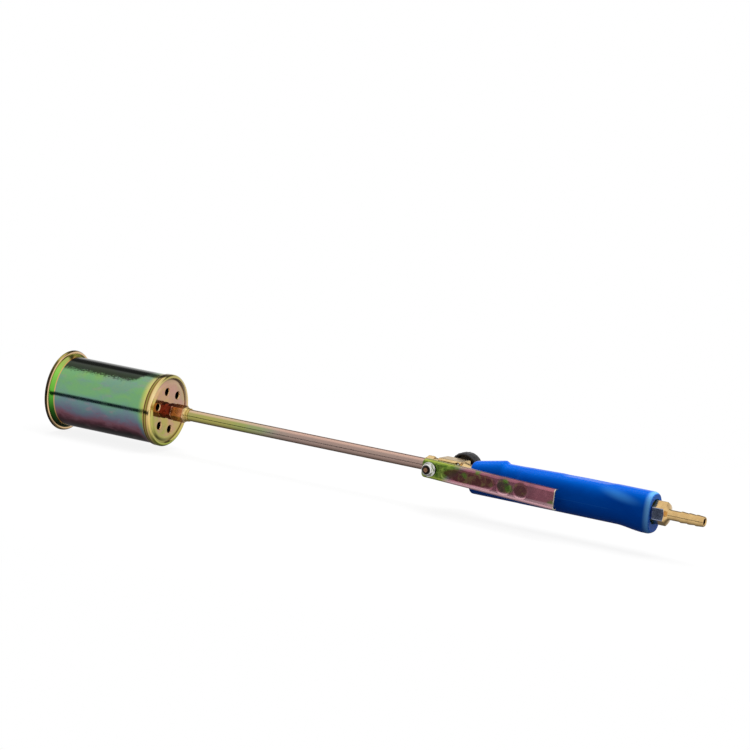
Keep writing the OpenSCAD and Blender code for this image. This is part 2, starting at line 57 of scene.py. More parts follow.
bl_info = {
    "name": "Propane torch looks",
    "version": (1, 0, 0),
    "blender": (4, 5, 0),
    "location": "3D View > Sidebar > Torch",
    "description": "Builds the visible pieces of a propane torch around its solids",
    "category": "Object",
}

MM = 0.001
X_ORIGIN = 497.6
X_BOLT = 266.3
X_PLUNGER = 279.5
X_HANDLE = 297.5
HANDLE_LEN = 163.0
X_REAR_HEX = 449.5
X_FIRST_RIDGE = 483.2
SHELL_R = 30.0
SHELL_WALL = 1.0
TUBE_R = 5.0
TUBE_WALL = 1.0
FLARE_X = -103.6
FLARE_OUT = 3.0
FLARE_LEN = 5.0
BEAD_X = FLARE_X - 0.5
BEAD_RING_R = SHELL_R + FLARE_OUT
BEAD_R = 1.9
HOLE_RING_R = 17.1
BALL_AT = (285.7, -6.6, 6.3)
BALL_R = 1.58
LEVER_TILT = radians(3.6)
LEVER_DROOP = radians(1.2)
LEVER_Y = 19.0


# ---------------------------------------------------------------- mesh helpers

def srgb(red, green, blue):
    """Colour picked on a 0 to 255 screen scale, as the linear colour that shaders take."""
    def linear(part):
        part /= 255.0
        return part / 12.92 if part <= 0.04045 else ((part + 0.055) / 1.055) ** 2.4
    return (linear(red), linear(green), linear(blue), 1.0)


def smooth_min(a, b, soft):
    """Smaller of two values, with the corner where they meet rounded."""
    gap = max(soft - abs(a - b), 0.0) / soft
    return min(a, b) - gap * gap * soft * 0.25


def ease(x, a, b):
    """Eases from 0 at a to 1 at b."""
    part = max(0.0, min(1.0, (x - a) / (b - a)))
    return part * part * (3.0 - 2.0 * part)


def rounded(points, radius=0.3, steps=4, loop=True):
    """Rounds a profile's corners. A point is (x, r) or (x, r, its own corner radius)."""
    made = []
    count = len(points)
    for i, point in enumerate(points):
        here = Vector(point[:2])
        size = point[2] if len(point) > 2 else radius
        if size <= 0 or (not loop and i in (0, count - 1)):
            made.append(tuple(here))
            continue
        back = Vector(points[i - 1][:2]) - here
        ahead = Vector(points[(i + 1) % count][:2]) - here
        reach = min(size, back.length * 0.45, ahead.length * 0.45)
        start, end = here + back.normalized() * reach, here + ahead.normalized() * reach
        for k in range(steps + 1):
            t = k / steps
            made.append(tuple(start * (1 - t) ** 2 + here * 2 * t * (1 - t) + end * t * t))
    return made


def split_long(points, step, loop=True):
    """Adds points so that no stretch of a profile is longer than step."""
    made = []
    count = len(points)
    for i, point in enumerate(points):
        made.append(point)
        if i == count - 1 and not loop:
            break
        a, b = Vector(point), Vector(points[(i + 1) % count])
        parts = int((b - a).length / step)
        made.extend(tuple(a.lerp(b, k / (parts + 1))) for k in range(1, parts + 1))
    return made


def hex_radius(angle, apothem):
    """Radius of a hexagon with softened corners, at an angle from a flat's middle."""
    part = angle % (pi / 3)
    part = min(part, pi / 3 - part)
    return smooth_min(apothem / cos(part), apothem / cos(pi / 3 - part), 0.22)


def turned(name, profile, axis="X", at=(0.0, 0.0, 0.0), segments=128, hexes=(), loop=True,
           hex_turn=0.0):
    """Turns a profile of (place along the axis, radius) points into a closed mesh.
    axis is X, or L and K for the Y axis towards the lever and towards the knob.
    hexes holds (from, to, across flats): between those places the body is a hexagon."""
    verts, rings = [], []
    for place, radius in profile:
        if radius < 1e-5:
            rings.append([len(verts)])
            verts.append((place, 0.0, 0.0))
            continue
        ring = []
        for k in range(segments):
            angle = 2 * pi * k / segments
            r = radius
            for low, high, flats in hexes:
                if low <= place <= high:
                    turn = angle - hex_turn if axis == "X" else angle + pi / 6
                    r = smooth_min(r, hex_radius(turn, flats / 2), 0.2)
            ring.append(len(verts))
            verts.append((place, r * cos(angle), r * sin(angle)))
        rings.append(ring)
    faces = []
    pairs = list(zip(rings, rings[1:])) + ([(rings[-1], rings[0])] if loop else [])
    for one, two in pairs:
        if len(one) == 1 and len(two) == 1:
            continue
        for k in range(segments):
            n = (k + 1) % segments
            if len(one) == 1:
                faces.append((one[0], two[k], two[n]))
            elif len(two) == 1:
                faces.append((one[k], two[0], one[n]))
            else:
                faces.append((one[k], two[k], two[n], one[n]))
    sign = {"L": -1.0, "K": 1.0}.get(axis)
    if sign:
        verts = [(r, sign * place, z) for place, r, z in verts]
    verts = [(x + at[0], y + at[1], z + at[2]) for x, y, z in verts]
    return mesh_object(name, verts, faces)


def mesh_object(name, verts, faces, in_mm=True):
    """New object from torch millimetres, its place in its mesh and its faces outwards."""
    if in_mm:
        verts = [((x - X_ORIGIN) * MM, y * MM, z * MM) for x, y, z in verts]
    mesh = bpy.data.meshes.new(name)
    mesh.from_pydata(verts, [], faces)
    made = bmesh.new()
    made.from_mesh(mesh)
    bmesh.ops.remove_doubles(made, verts=made.verts, dist=1e-7)
    bmesh.ops.recalc_face_normals(made, faces=made.faces)
    made.to_mesh(mesh)
    made.free()
    body = bpy.data.objects.new(name, mesh)
    bpy.context.scene.collection.objects.link(body)
    return body


def bake(body):
    """Replaces an object's modifiers by the mesh that they make."""
    graph = bpy.context.evaluated_depsgraph_get()
    mesh = bpy.data.meshes.new_from_object(body.evaluated_get(graph))
    body.modifiers.clear()
    old = body.data
    body.data = mesh
    bpy.data.meshes.remove(old)
    mesh.name = body.name


def join(name, bodies):
    """One object with the meshes of several, all of them at the origin."""
    made = bmesh.new()
    for body in bodies:
        made.from_mesh(body.data)
    mesh = bpy.data.meshes.new(name)
    made.to_mesh(mesh)
    made.free()
    for body in bodies:
        bpy.data.objects.remove(body)
    whole = bpy.data.objects.new(name, mesh)
    bpy.context.scene.collection.objects.link(whole)
    return whole


def cut(body, tools):
    """Cuts tools out of body."""
    for tool in tools:
        mod = body.modifiers.new("cut", "BOOLEAN")
        mod.operation = "DIFFERENCE"
        mod.solver = "MANIFOLD"
        mod.object = tool
    bake(body)
    for tool in tools:
        bpy.data.objects.remove(tool)


def smooth(body, angle=38.0):
    """Shades a mesh smooth and leaves edges that turn by more than angle crisp."""
    mesh = body.data
    mesh.polygons.foreach_set("use_smooth", [True] * len(mesh.polygons))
    mesh.set_sharp_from_angle(angle=radians(angle))


def place(piece, material, body, slot, *nodes):
    """Gives a piece its material and its body, and hides the nodes that it stands for. slot is not
    used.
    """
    smooth(piece)
    piece.data.materials.clear()
    piece.data.materials.append(material)
    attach(piece, body)
    if nodes:
        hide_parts(*nodes)


def dress(material, *nodes):
    """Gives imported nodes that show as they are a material."""
    for node in nodes:
        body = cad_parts[node]
        body.data.materials.clear()
        body.data.materials.append(material)


# ---------------------------------------------------------------- node helpers

class Board:
    """Short words for building a node tree, laid out in rows."""
    per_row, column, row = 9, 220, -260

    def __init__(self, tree):
        self.tree = tree
        self.count = 0

    def node(self, kind, inputs=None, **settings):
        """Adds a node, sets it up and feeds its inputs."""
        made = self.tree.nodes.new(kind)
        made.location = (self.column * (self.count % self.per_row),
                         self.row * (self.count // self.per_row))
        self.count += 1
        for key, value in settings.items():
            setattr(made, key, value)
        for key, value in (inputs or {}).items():
            self.feed(made.inputs[key], value)
        return made

    def feed(self, socket, value):
        """Links a socket, or gives it a constant value."""
        if isinstance(value, bpy.types.NodeSocket):
            self.tree.links.new(value, socket)
        else:
            socket.default_value = value

    def math(self, operation, a, b=0.0, clamp=False):
        return self.node("ShaderNodeMath", {0: a, 1: b}, operation=operation,
                         use_clamp=clamp).outputs[0]

    def affine(self, value, gain, offset):
        """value * gain + offset."""
        return self.node("ShaderNodeMath", {0: value, 1: gain, 2: offset},
                         operation="MULTIPLY_ADD").outputs[0]

    def product(self, *values):
        """All values multiplied."""
        made = values[0]
        for value in values[1:]:
            made = self.math("MULTIPLY", made, value)
        return made

    def length(self, a, b):
        """Root of the sum of two squares."""
        return self.math("SQRT", self.math("ADD", self.product(a, a), self.product(b, b)))

    def vector(self, operation, a, b):
        return self.node("ShaderNodeVectorMath", {0: a, 1: b}, operation=operation).outputs[0]

    def xyz(self, vector):
        """The three parts of a vector."""
        return self.node("ShaderNodeSeparateXYZ", {0: vector}).outputs

    def noise(self, vector, scale, detail=2.0, roughness=0.5, distortion=0.0):
        return self.node("ShaderNodeTexNoise", {
            "Vector": vector, "Scale": scale, "Detail": detail,
            "Roughness": roughness, "Distortion": distortion}).outputs[0]

    def wander(self, vector, reach, *settings):
        """Noise about zero, up to half of reach to each side."""
        return self.affine(self.noise(vector, *settings), reach, -reach / 2)

    def span(self, value, low, high, to_low=0.0, to_high=1.0):
        """Eases from to_low at low to to_high at high."""
        return self.node("ShaderNodeMapRange", {
            0: value, 1: low, 2: high, 3: to_low, 4: to_high},
            interpolation_type="SMOOTHSTEP").outputs[0]

    def mix(self, factor, a, b):
        """Mixes two colours."""
        return self.node("ShaderNodeMix", {0: factor, 6: a, 7: b}, data_type="RGBA").outputs[2]

    def blend(self, factor, a, b):
        """Mixes two plain numbers."""
        return self.node("ShaderNodeMix", {0: factor, 2: a, 3: b}, data_type="FLOAT").outputs[0]

    def ramp(self, factor, stops):
        """Colour ramp; each stop is (position, colour or grey)."""
        made = self.node("ShaderNodeValToRGB", {0: factor})
        bar = made.color_ramp
        while len(bar.elements) < len(stops):
            bar.elements.new(0.5)
        for element, (position, colour) in zip(bar.elements, stops):
            element.position = position
            element.color = colour if isinstance(colour, tuple) else (colour, colour, colour, 1)
        return made.outputs[0]

    def place_group(self, tree, inputs):
        """Adds a shader group and feeds its named inputs."""
        return self.node("ShaderNodeGroup", inputs, node_tree=tree)


def new_tree(name, kind, inputs, outputs):
    """New node group with named sockets; inputs and outputs hold (name, socket kind, default)."""
    tree = bpy.data.node_groups.new(name, kind)
    for side, rows in (("INPUT", inputs), ("OUTPUT", outputs)):
        for label, socket, default in rows:
            made = tree.interface.new_socket(label, in_out=side, socket_type="NodeSocket" + socket)
            if default is not None:
                made.default_value = default
    board = Board(tree)
    return tree, board, board.node("NodeGroupInput").outputs, board.node("NodeGroupOutput").inputs


# ---------------------------------------------------------------- shared surface effects

FILM_STOPS = [
    (0.00, srgb(226, 214, 150)), (0.10, srgb(196, 180, 100)), (0.20, srgb(168, 168, 84)),
    (0.30, srgb(136, 166, 86)), (0.40, srgb(112, 160, 112)), (0.49, srgb(104, 150, 128)),
    (0.57, srgb(106, 136, 140)), (0.65, srgb(112, 122, 140)), (0.72, srgb(128, 104, 124)),
    (0.79, srgb(140, 92, 106)), (0.86, srgb(104, 56, 70)), (0.93, srgb(58, 28, 36)),
    (1.00, srgb(20, 12, 14)),
]


def make_film_group():
    """Colours of a passivated zinc film by its thickness, mottled as a dipped part is."""
    tree, b, given, out = new_tree("zinc_film", "ShaderNodeTree", [
        ("Vector", "Vector", None), ("Film", "Float", 0.4), ("Blotch size", "Float", 12.0),
        ("Blotches", "Float", 0.08), ("Mottle", "Float", 0.03), ("Specks", "Float", 0.1),
    ], [("Color", "Color", None)])
    scale = b.math("DIVIDE", 1.0, given["Blotch size"])
    clouds = b.noise(given["Vector"], scale, 3.0, 0.55, 0.6)
    fine = b.noise(given["Vector"], b.math("MULTIPLY", scale, 6.0), 4.0, 0.65)
    shift = b.math("MULTIPLY", b.math("SUBTRACT", clouds, 0.5), given["Blotches"])
    ripple = b.math("MULTIPLY", b.math("SUBTRACT", fine, 0.5), given["Mottle"])
    film = b.math("ADD", given["Film"], b.math("MULTIPLY", b.math("ADD", shift, ripple), 4.0))
    colour = b.ramp(film, FILM_STOPS)
    pink = b.span(b.noise(given["Vector"], b.math("MULTIPLY", scale, 1.7), 2.0), 0.58, 0.72)
    colour = b.mix(b.math("MULTIPLY", pink, 0.3), colour, srgb(170, 128, 140))
    dots = b.span(b.noise(given["Vector"], 1.6, 2.0, 0.7), 0.66, 0.74)
    colour = b.mix(b.math("MULTIPLY", dots, given["Specks"]), colour, srgb(46, 40, 36))
    b.feed(out["Color"], colour)
    return tree


def make_around_group():
    """Height round the X axis, from -1 below to 1 on top, and the radius in millimetres."""
    tree, b, given, out = new_tree("around_axis", "ShaderNodeTree", [
        ("Vector", "Vector", None)], [("Height", "Float", None), ("Radius", "Float", None)])
    _, y, z = b.xyz(given["Vector"])
    radius = b.length(y, z)
    b.feed(out["Radius"], radius)
    b.feed(out["Height"], b.math("DIVIDE", z, b.math("MAXIMUM", radius, 0.01)))
    return tree


def make_grain_group():
    """Fine surface relief: long scratches along one axis, a light orange peel and rub marks."""
    tree, b, given, out = new_tree("fine_grain", "ShaderNodeTree", [
        ("Vector", "Vector", None), ("Stretch", "Vector", (0.08, 1.0, 1.0)),
        ("Grain size", "Float", 0.6), ("Peel size", "Float", 2.5),
    ], [("Height", "Float", None), ("Rubbed", "Float", None)])
    drawn = b.vector("MULTIPLY", given["Vector"], given["Stretch"])
    lines = b.noise(drawn, b.math("DIVIDE", 1.0, given["Grain size"]), 3.0, 0.6)
    peel = b.noise(given["Vector"], b.math("DIVIDE", 1.0, given["Peel size"]), 2.0)
    b.feed(out["Height"], b.math("ADD", b.math("MULTIPLY", lines, 0.6),
                                 b.math("MULTIPLY", peel, 0.4)))
    b.feed(out["Rubbed"], b.span(b.noise(given["Vector"], 0.11, 4.0, 0.6), 0.42, 0.66))
    return tree


def make_machined_group():
    """Turned brass: faint tool rings along X and clouds of tarnish."""
    tree, b, given, out = new_tree("machined", "ShaderNodeTree", [
        ("Vector", "Vector", None), ("Pitch", "Float", 1.6), ("Tarnish", "Float", 0.3),
    ], [("Height", "Float", None), ("Tarnish", "Float", None)])
    x = b.xyz(given["Vector"])[0]
    turn = b.math("MULTIPLY", x, b.math("DIVIDE", 2 * pi, given["Pitch"]))
    rings = b.product(b.math("SINE", turn), 0.5)
    clouds = b.noise(given["Vector"], 0.22, 4.0, 0.65, 0.4)
    b.feed(out["Height"], b.math("ADD", rings, b.noise(given["Vector"], 0.5, 2.0)))
    b.feed(out["Tarnish"], b.math("MULTIPLY", b.span(clouds, 0.35, 0.7), given["Tarnish"]))
    return tree


def blank_board(owner):
    """Board on the emptied node tree of a material or a world."""
    owner.use_nodes = True
    owner.node_tree.nodes.clear()
    return Board(owner.node_tree)


def make_material(name, metallic=1.0, specular=0.5):
    """New material with a Principled shader whose constant values stand on its own sockets.
    Returns the material, its board, the shader's inputs and torch coordinates in mm."""
    material = bpy.data.materials.new(name)
    b = blank_board(material)
    shader = b.node("ShaderNodeBsdfPrincipled", {
        "Metallic": metallic, "Specular IOR Level": specular})
    b.node("ShaderNodeOutputMaterial", {"Surface": shader.outputs[0]})
    coords = b.node("ShaderNodeTexCoord")
    mapping = b.node("ShaderNodeMapping", {
        "Vector": coords.outputs["Object"], "Location": (X_ORIGIN, 0, 0),
        "Scale": (1000, 1000, 1000)})
    return material, b, shader.inputs, mapping.outputs[0]


def bump(b, shader, height, strength, depth=0.0001):
    """Lets a height show as relief on a shader."""
    made = b.node("ShaderNodeBump", {"Height": height, "Strength": strength, "Distance": depth})
    b.feed(shader["Normal"], made.outputs[0])


class Finishes:
    """All materials, made once from the settings in the scene."""

    def __init__(self):
        self.film = make_film_group()
        self.around = make_around_group()
        self.grain = make_grain_group()
        self.machined = make_machined_group()
        self.shell = self.make_shell()
        self.plate = self.make_plate()
        self.rim = self.make_rim()
        self.tube = self.make_tube()
        self.lever = self.make_lever()
        self.nozzle = self.make_nozzle()
        self.collar = self.make_brass("collar_brass", srgb(214, 188, 112), srgb(140, 96, 60), 0.2)
        self.brass = self.make_brass("valve_brass", srgb(238, 206, 148), srgb(176, 130, 84), 0.24)
        self.barb = self.make_brass("barb_brass", srgb(228, 192, 132), srgb(164, 122, 76), 0.15,
                                    with_slate_reflection=True)
        self.steel = self.make_steel("nut_steel", srgb(232, 232, 228), srgb(170, 166, 160), 0.2)
        self.bolt = self.make_bolt()
        self.chrome = self.make_steel("ball_steel", srgb(214, 212, 206), srgb(150, 148, 146), 0.1)
        self.raw = self.make_steel("raw_steel", srgb(120, 112, 104), srgb(58, 46, 40), 0.42)
        self.knob = self.make_black_plastic("knob_black", srgb(24, 24, 26), srgb(52, 52, 54))
        self.nylon = self.make_black_plastic("insert_nylon", srgb(58, 52, 50), srgb(92, 84, 80))
        self.rubber = self.make_black_plastic("seal_rubber", srgb(22, 22, 22), srgb(40, 38, 38))
        self.handle = self.make_blue_plastic()

    def make_shell(self):
        """Iridescent plating of the burner's shell, its flare and bead, and its burnt inside."""
        m, b, shader, v = make_material("burner_plating")
        x, y = b.xyz(v)[:2]
        around = b.place_group(self.around, {"Vector": v})
        height, radius = around.outputs["Height"], around.outputs["Radius"]
        # Film by height round the axis, up to near black underneath: plating tones that are partly
        # painted shade and reflection
        level = b.ramp(b.affine(height, 0.5, 0.5), [
            (0.0, 1.0), (0.09, 0.95), (0.18, 0.84), (0.27, 0.72), (0.36, 0.62), (0.47, 0.54),
            (0.56, 0.46), (0.70, 0.41), (0.885, 0.38), (1.0, 0.36)])
        # Near the plate the film thins towards pale cream on the upper side, partly plating colour
        # and partly a painted highlight
        near_plate = b.span(x, -13.5, -6.0)
        upper = b.span(height, -0.9, 0.8)
        film = b.blend(b.product(near_plate, b.affine(upper, 0.65, 0.3)), level, 0.07)
        streaked = b.vector("MULTIPLY", v, (0.55, 1.0, 1.0))
        colours = b.place_group(self.film, {
            "Vector": streaked, "Film": film, "Blotch size": 11.0, "Blotches": 0.07,
            "Mottle": 0.025, "Specks": 0.12})
        # Painted highlights: the upper half painted paler with yellow-green and blue-grey patches,
        # and the upper side turning yellow towards the plate, there partly plating colour and
        # partly painted highlight
        pale = b.mix(b.span(b.noise(streaked, 0.075, 3.0, 0.55), 0.42, 0.62),
                     srgb(128, 186, 118), srgb(128, 158, 160))
        colour = b.mix(b.product(b.span(height, -0.35, 0.3), 0.4), colours.outputs["Color"],
                       pale)
        colour = b.mix(b.product(near_plate, b.span(height, -0.55, 0.45), 0.55), colour,
                       srgb(232, 226, 122))
        # Painted dark reflection: a speckled dark streak along the top
        edge = b.math("ADD", height, b.product(b.math(
            "SUBTRACT", b.noise(streaked, 0.9, 5.0, 0.75), 0.5), 0.36))
        taper = b.span(x, -30.0, -9.0, 0.0, 0.34)
        dark_reflection = b.span(b.math("SUBTRACT", edge, taper), 0.70, 0.80)
        colour = b.mix(b.product(dark_reflection, b.span(y, 21.0, 3.0), 0.93), colour, srgb(30, 26, 24))
        # Flare, the line where it starts, and the rolled bead, with painted light on the flare and
        # the bead
        start = FLARE_X + FLARE_LEN
        flare = b.span(x, start - 0.4, start - 0.9)
        # Painted light on the flare: dark green below, bright green on top
        green = b.ramp(b.affine(height, 0.5, 0.5), [
            (0.0, srgb(20, 46, 20)), (0.25, srgb(44, 100, 30)), (0.5, srgb(92, 178, 56)),
            (0.8, srgb(142, 208, 88)), (1.0, srgb(170, 168, 92))])
        colour = b.mix(flare, colour, green)
        line = b.product(b.span(x, start - 0.8, start - 0.4),
                         b.span(x, start + 0.6, start + 0.2))
        colour = b.mix(b.product(line, 0.85), colour, srgb(226, 178, 104))
        bead = b.span(radius, BEAD_RING_R - 1.0, BEAD_RING_R - 0.5)
        roll = b.math("ARCTAN2", b.math("SUBTRACT", radius, BEAD_RING_R),
                      b.affine(x, 1.0, -BEAD_X))
        olive = b.mix(b.span(b.noise(v, 0.035, 2.0), 0.44, 0.56), srgb(176, 160, 78),
                      srgb(52, 42, 26))
        # Painted highlight: gold-cream on the bead's rear side, giving way to the olive further
        # round
        bead_with_highlight = b.mix(b.noise(v, 0.16, 3.0), srgb(236, 200, 130), srgb(230, 196, 168))
        bead_with_highlight = b.mix(b.span(roll, 0.55, 1.0), bead_with_highlight, olive)
        colour = b.mix(bead, colour, bead_with_highlight)
        # Burnt inside
        inside = b.math("LESS_THAN", radius, SHELL_R - SHELL_WALL / 2)
        burnt = b.mix(b.span(b.noise(v, 0.12, 4.0, 0.6), 0.3, 0.7),
                      srgb(96, 84, 66), srgb(58, 50, 44))
        colour = b.mix(inside, colour, burnt)
        b.feed(shader["Base Color"], colour)
        grain = b.place_group(self.grain, {"Vector": v})
        rough = b.affine(grain.outputs["Rubbed"], 0.04, 0.10)
        rough = b.math("ADD", rough, b.product(near_plate, 0.10))
        rough = b.math("ADD", rough, b.product(inside, 0.25))
        b.feed(shader["Roughness"], rough)
        bump(b, shader, grain.outputs["Height"], 0.14)
        return m

    def make_plate(self):
        """Plating of the back plate: pink and yellow face, cream rim and banded skirt."""
        m, b, shader, v = make_material("plate_plating")
        x, y, z = b.xyz(v)
        around = b.place_group(self.around, {"Vector": v})
        radius = around.outputs["Radius"]
        slope = b.math("ADD", b.product(z, 0.016), b.product(y, 0.010))
        mask = b.math("ADD", slope, b.noise(v, 0.07, 3.0, 0.6), True)
        face = b.ramp(mask, [
            (0.10, srgb(178, 176, 92)), (0.36, srgb(204, 182, 104)), (0.52, srgb(214, 168, 130)),
            (0.75, srgb(206, 156, 146)), (1.0, srgb(196, 168, 140))])
        clouds = b.place_group(self.film, {
            "Vector": v, "Film": 0.10, "Blotch size": 9.0, "Blotches": 0.06, "Mottle": 0.03,
            "Specks": 0.1})
        colour = b.mix(0.22, face, clouds.outputs["Color"])
        # Pink halo round the air holes, cream rim with a painted highlight, painted shade in the
        # groove, and banded skirt with a painted highlight
        halo = b.product(b.span(radius, 11.5, 13.5), b.span(radius, 23.0, 21.0))
        colour = b.mix(b.product(halo, b.span(b.noise(v, 0.2, 2.0), 0.4, 0.6), 0.35), colour,
                       srgb(214, 150, 150))
        edge = b.span(radius, 27.6, 28.6)
        # Cream rim, painted paler on its upper side as a highlight, olive underneath
        cream = b.ramp(b.affine(around.outputs["Height"], 0.5, 0.5), [
            (0.0, srgb(170, 180, 78)), (0.35, srgb(226, 196, 120)), (0.75, srgb(240, 214, 158)),
            (1.0, srgb(196, 182, 108))])
        colour = b.mix(edge, colour, cream)
        # Painted shade in the groove, darker towards the far side
        groove_shade = b.product(b.span(radius, 26.0, 26.5), b.span(radius, 27.6, 27.1),
                           b.span(y, -10.0, 14.0, 0.2, 0.85))
        colour = b.mix(groove_shade, colour, srgb(84, 52, 40))
        skirt = b.product(b.span(x, -1.5, -1.8), b.span(radius, 29.9, 30.2))
        # Banded skirt: dark seam lines, and near white at the rear edge as a painted highlight
        band = b.ramp(b.affine(x, 0.2, 1.3), [
            (0.0, srgb(232, 206, 140)), (0.09, srgb(214, 176, 104)), (0.15, srgb(74, 44, 30)),
            (0.27, srgb(88, 54, 36)), (0.36, srgb(156, 150, 74)), (0.60, srgb(150, 132, 66)),
            (0.70, srgb(104, 62, 40)), (0.80, srgb(196, 160, 96)), (1.0, srgb(240, 214, 150))])
        colour = b.mix(skirt, colour, band)
        b.feed(shader["Base Color"], colour)
        grain = b.place_group(self.grain, {"Vector": v, "Stretch": (1.0, 1.0, 0.2)})
        b.feed(shader["Roughness"], b.affine(grain.outputs["Rubbed"], 0.06, 0.09))
        bump(b, shader, grain.outputs["Height"], 0.08)
        return m

    def make_rim(self):
        """Plating of the collars round the air holes."""
        m, b, shader, v = make_material("hole_rim_plating")
        outer = b.mix(b.noise(v, 0.2, 3.0), srgb(216, 168, 134), srgb(206, 166, 120))
        colour = b.mix(b.span(b.xyz(v)[0], -0.9, -1.5), outer, srgb(246, 226, 160))
        b.feed(shader["Base Color"], colour)
        b.feed(shader["Roughness"], b.span(b.noise(v, 1.2, 2.0), 0.3, 0.7, 0.14, 0.22))
        return m

    def make_tube(self):
        """Plating of the gas tube, olive at the burner and mauve towards the valve, with a painted
        highlight along its top and painted shade underneath.
        """
        m, b, shader, v = make_material("tube_plating")
        x = b.xyz(v)[0]
        around = b.place_group(self.around, {"Vector": v})
        wave = b.wander(v, 40.0, 0.05, 3.0)
        along = b.span(b.math("ADD", x, wave), 60.0, 130.0)
        drawn = b.vector("MULTIPLY", v, (0.16, 1.0, 1.0))
        colours = b.place_group(self.film, {
            "Vector": drawn, "Film": b.blend(along, 0.20, 0.70), "Blotch size": 6.0,
            "Blotches": 0.03, "Mottle": 0.02, "Specks": 0.2})
        plain = b.mix(along, srgb(186, 172, 112), srgb(184, 156, 136))
        colour = b.mix(b.affine(along, 0.35, 0.35), colours.outputs["Color"], plain)
        # Painted highlight: pink-cream along the top
        pink = b.span(around.outputs["Height"], 0.45, 0.8)
        colour = b.mix(b.product(pink, 0.65), colour, srgb(232, 190, 170))
        # Painted shade: brownish along the underside
        low = b.span(around.outputs["Height"], -0.45, -0.95)
        colour = b.mix(b.product(low, 0.6), colour, srgb(150, 104, 78))
        grime = b.product(b.span(b.noise(v, 0.7, 4.0, 0.7), 0.54, 0.7), along)
        colour = b.mix(b.product(grime, 0.3), colour, srgb(112, 80, 68))
        b.feed(shader["Base Color"], colour)
        grain = b.place_group(self.grain, {"Vector": v, "Stretch": (0.03, 1.0, 1.0)})
        b.feed(shader["Roughness"], b.math("ADD", b.blend(along, 0.12, 0.2), b.product(
            grain.outputs["Rubbed"], 0.04)))
        bump(b, shader, grain.outputs["Height"], 0.16)
        return m

    def make_lever(self):
        """Stained plating of the lever, green at its bolt and mauve along its length."""
        m, b, shader, v = make_material("lever_plating")
        x, _, z = b.xyz(v)
        local = b.math("SUBTRACT", x, X_BOLT)
        tall = b.math("DIVIDE", z, b.affine(local, 0.0072, 7.75))
        ripple = b.wander(v, 0.7, 0.3, 3.0)
        # Across the pressed channel the face turns from green at its bolt end to mauve
        slant = b.math("ADD", local, b.product(z, -0.9))
        wave = b.wander(v, 22.0, 0.10, 3.0, 0.6)
        along = b.span(b.math("ADD", slant, wave), 15.0, 30.0)
        colours = b.place_group(self.film, {
            "Vector": b.vector("MULTIPLY", v, (0.7, 1.0, 1.0)), "Film": b.blend(along, 0.30, 0.775),
            "Blotch size": 8.0, "Blotches": 0.03, "Mottle": 0.015, "Specks": 0.2})
        green = b.mix(b.span(b.noise(v, 0.16, 3.0, 0.6), 0.4, 0.6), srgb(84, 118, 34),
                      srgb(134, 158, 66))
        colour = b.mix(b.product(b.math("SUBTRACT", 1.0, along), 0.85),
                       colours.outputs["Color"], green)
        rose = b.mix(b.span(b.noise(v, 0.11, 3.0), 0.35, 0.65), srgb(176, 104, 118),
                     srgb(146, 92, 100))
        colour = b.mix(b.product(along, 0.55), colour, rose)
        colour = b.mix(b.product(b.span(local, 94.0, 104.0), 0.5), colour, srgb(196, 120, 134))
        # Long pressed panel, pointed towards the bolt, and two round marks, painted dark with a
        # mottle as dark reflections in the pressings
        point = b.product(b.span(local, 30.0, 8.0), b.math("ABSOLUTE", z), 0.12)
        for middle, half, reach, tint, strength in (
                (38.0, 25.0, 5.2, srgb(92, 52, 44), 0.78), (70.5, 6.4, 5.6, srgb(78, 74, 64), 0.85),
                (86.5, 6.6, 5.8, srgb(104, 66, 66), 0.85)):
            dx = b.math("DIVIDE", b.math("SUBTRACT", local, middle), half)
            dz = b.math("DIVIDE", z, reach)
            across = b.product(dx, dx) if half < 10 else b.product(dx, dx, dx, dx)
            far = b.math("ADD", b.math("ADD", across, b.product(dz, dz)), ripple)
            if half > 10:
                far = b.math("ADD", far, point)
            mottle = b.mix(b.span(b.noise(v, 0.22, 4.0, 0.65), 0.5, 0.66), tint,
                           srgb(116, 104, 58))
            colour = b.mix(b.product(b.span(far, 1.15, 0.75), strength), colour, mottle)
        # Green stains of the plating bath
        for place_x, place_z, size in ((75.5, -1.8, 3.6), (72.0, 3.6, 2.2), (115.5, -6.4, 3.4),
                                       (45.0, 6.2, 2.4), (33.0, 1.0, 2.0)):
            dx, dz = b.math("SUBTRACT", local, place_x), b.math("SUBTRACT", z, place_z)
            far = b.math("SQRT", b.math("ADD", b.product(dx, dx), b.product(dz, dz, 1.4)))
            far = b.math("ADD", far, b.wander(v, 7.0, 0.45, 4.0, 0.7))
            colour = b.mix(b.product(b.span(far, size + 1.4, size - 1.4), 0.75), colour,
                           srgb(92, 138, 50))
        # Painted highlights: cream and pink along the top and bottom bends, and a near-white rear
        # cut edge
        top = b.span(tall, 0.74, 0.96)
        low = b.span(tall, -0.62, -0.82)
        bend = b.mix(along, srgb(198, 206, 92), srgb(236, 190, 176))
        colour = b.mix(b.product(top, 0.8), colour, bend)
        colour = b.mix(b.product(low, 0.8), colour, b.mix(along, srgb(160, 172, 76),
                                                         srgb(236, 188, 196)))
        cut_edge_highlight = b.span(local, 116.9, 117.4)
        colour = b.mix(cut_edge_highlight, colour, srgb(240, 232, 206))
        b.feed(shader["Base Color"], colour)
        grain = b.place_group(self.grain, {"Vector": v, "Stretch": (0.25, 1.0, 1.0)})
        b.feed(shader["Roughness"], b.affine(grain.outputs["Rubbed"], 0.08, 0.25))
        bump(b, shader, grain.outputs["Height"], 0.16)
        return m

    def make_brass(self, name, light, dark, roughness, with_slate_reflection=False):
        """Turned brass between a light and a tarnished tone; the barb also gets a painted
        slate-blue reflection on one hex flat.
        """
        m, b, shader, v = make_material(name)
        work = b.place_group(self.machined, {"Vector": v})
        colour = b.mix(work.outputs["Tarnish"], light, dark)
        if with_slate_reflection:
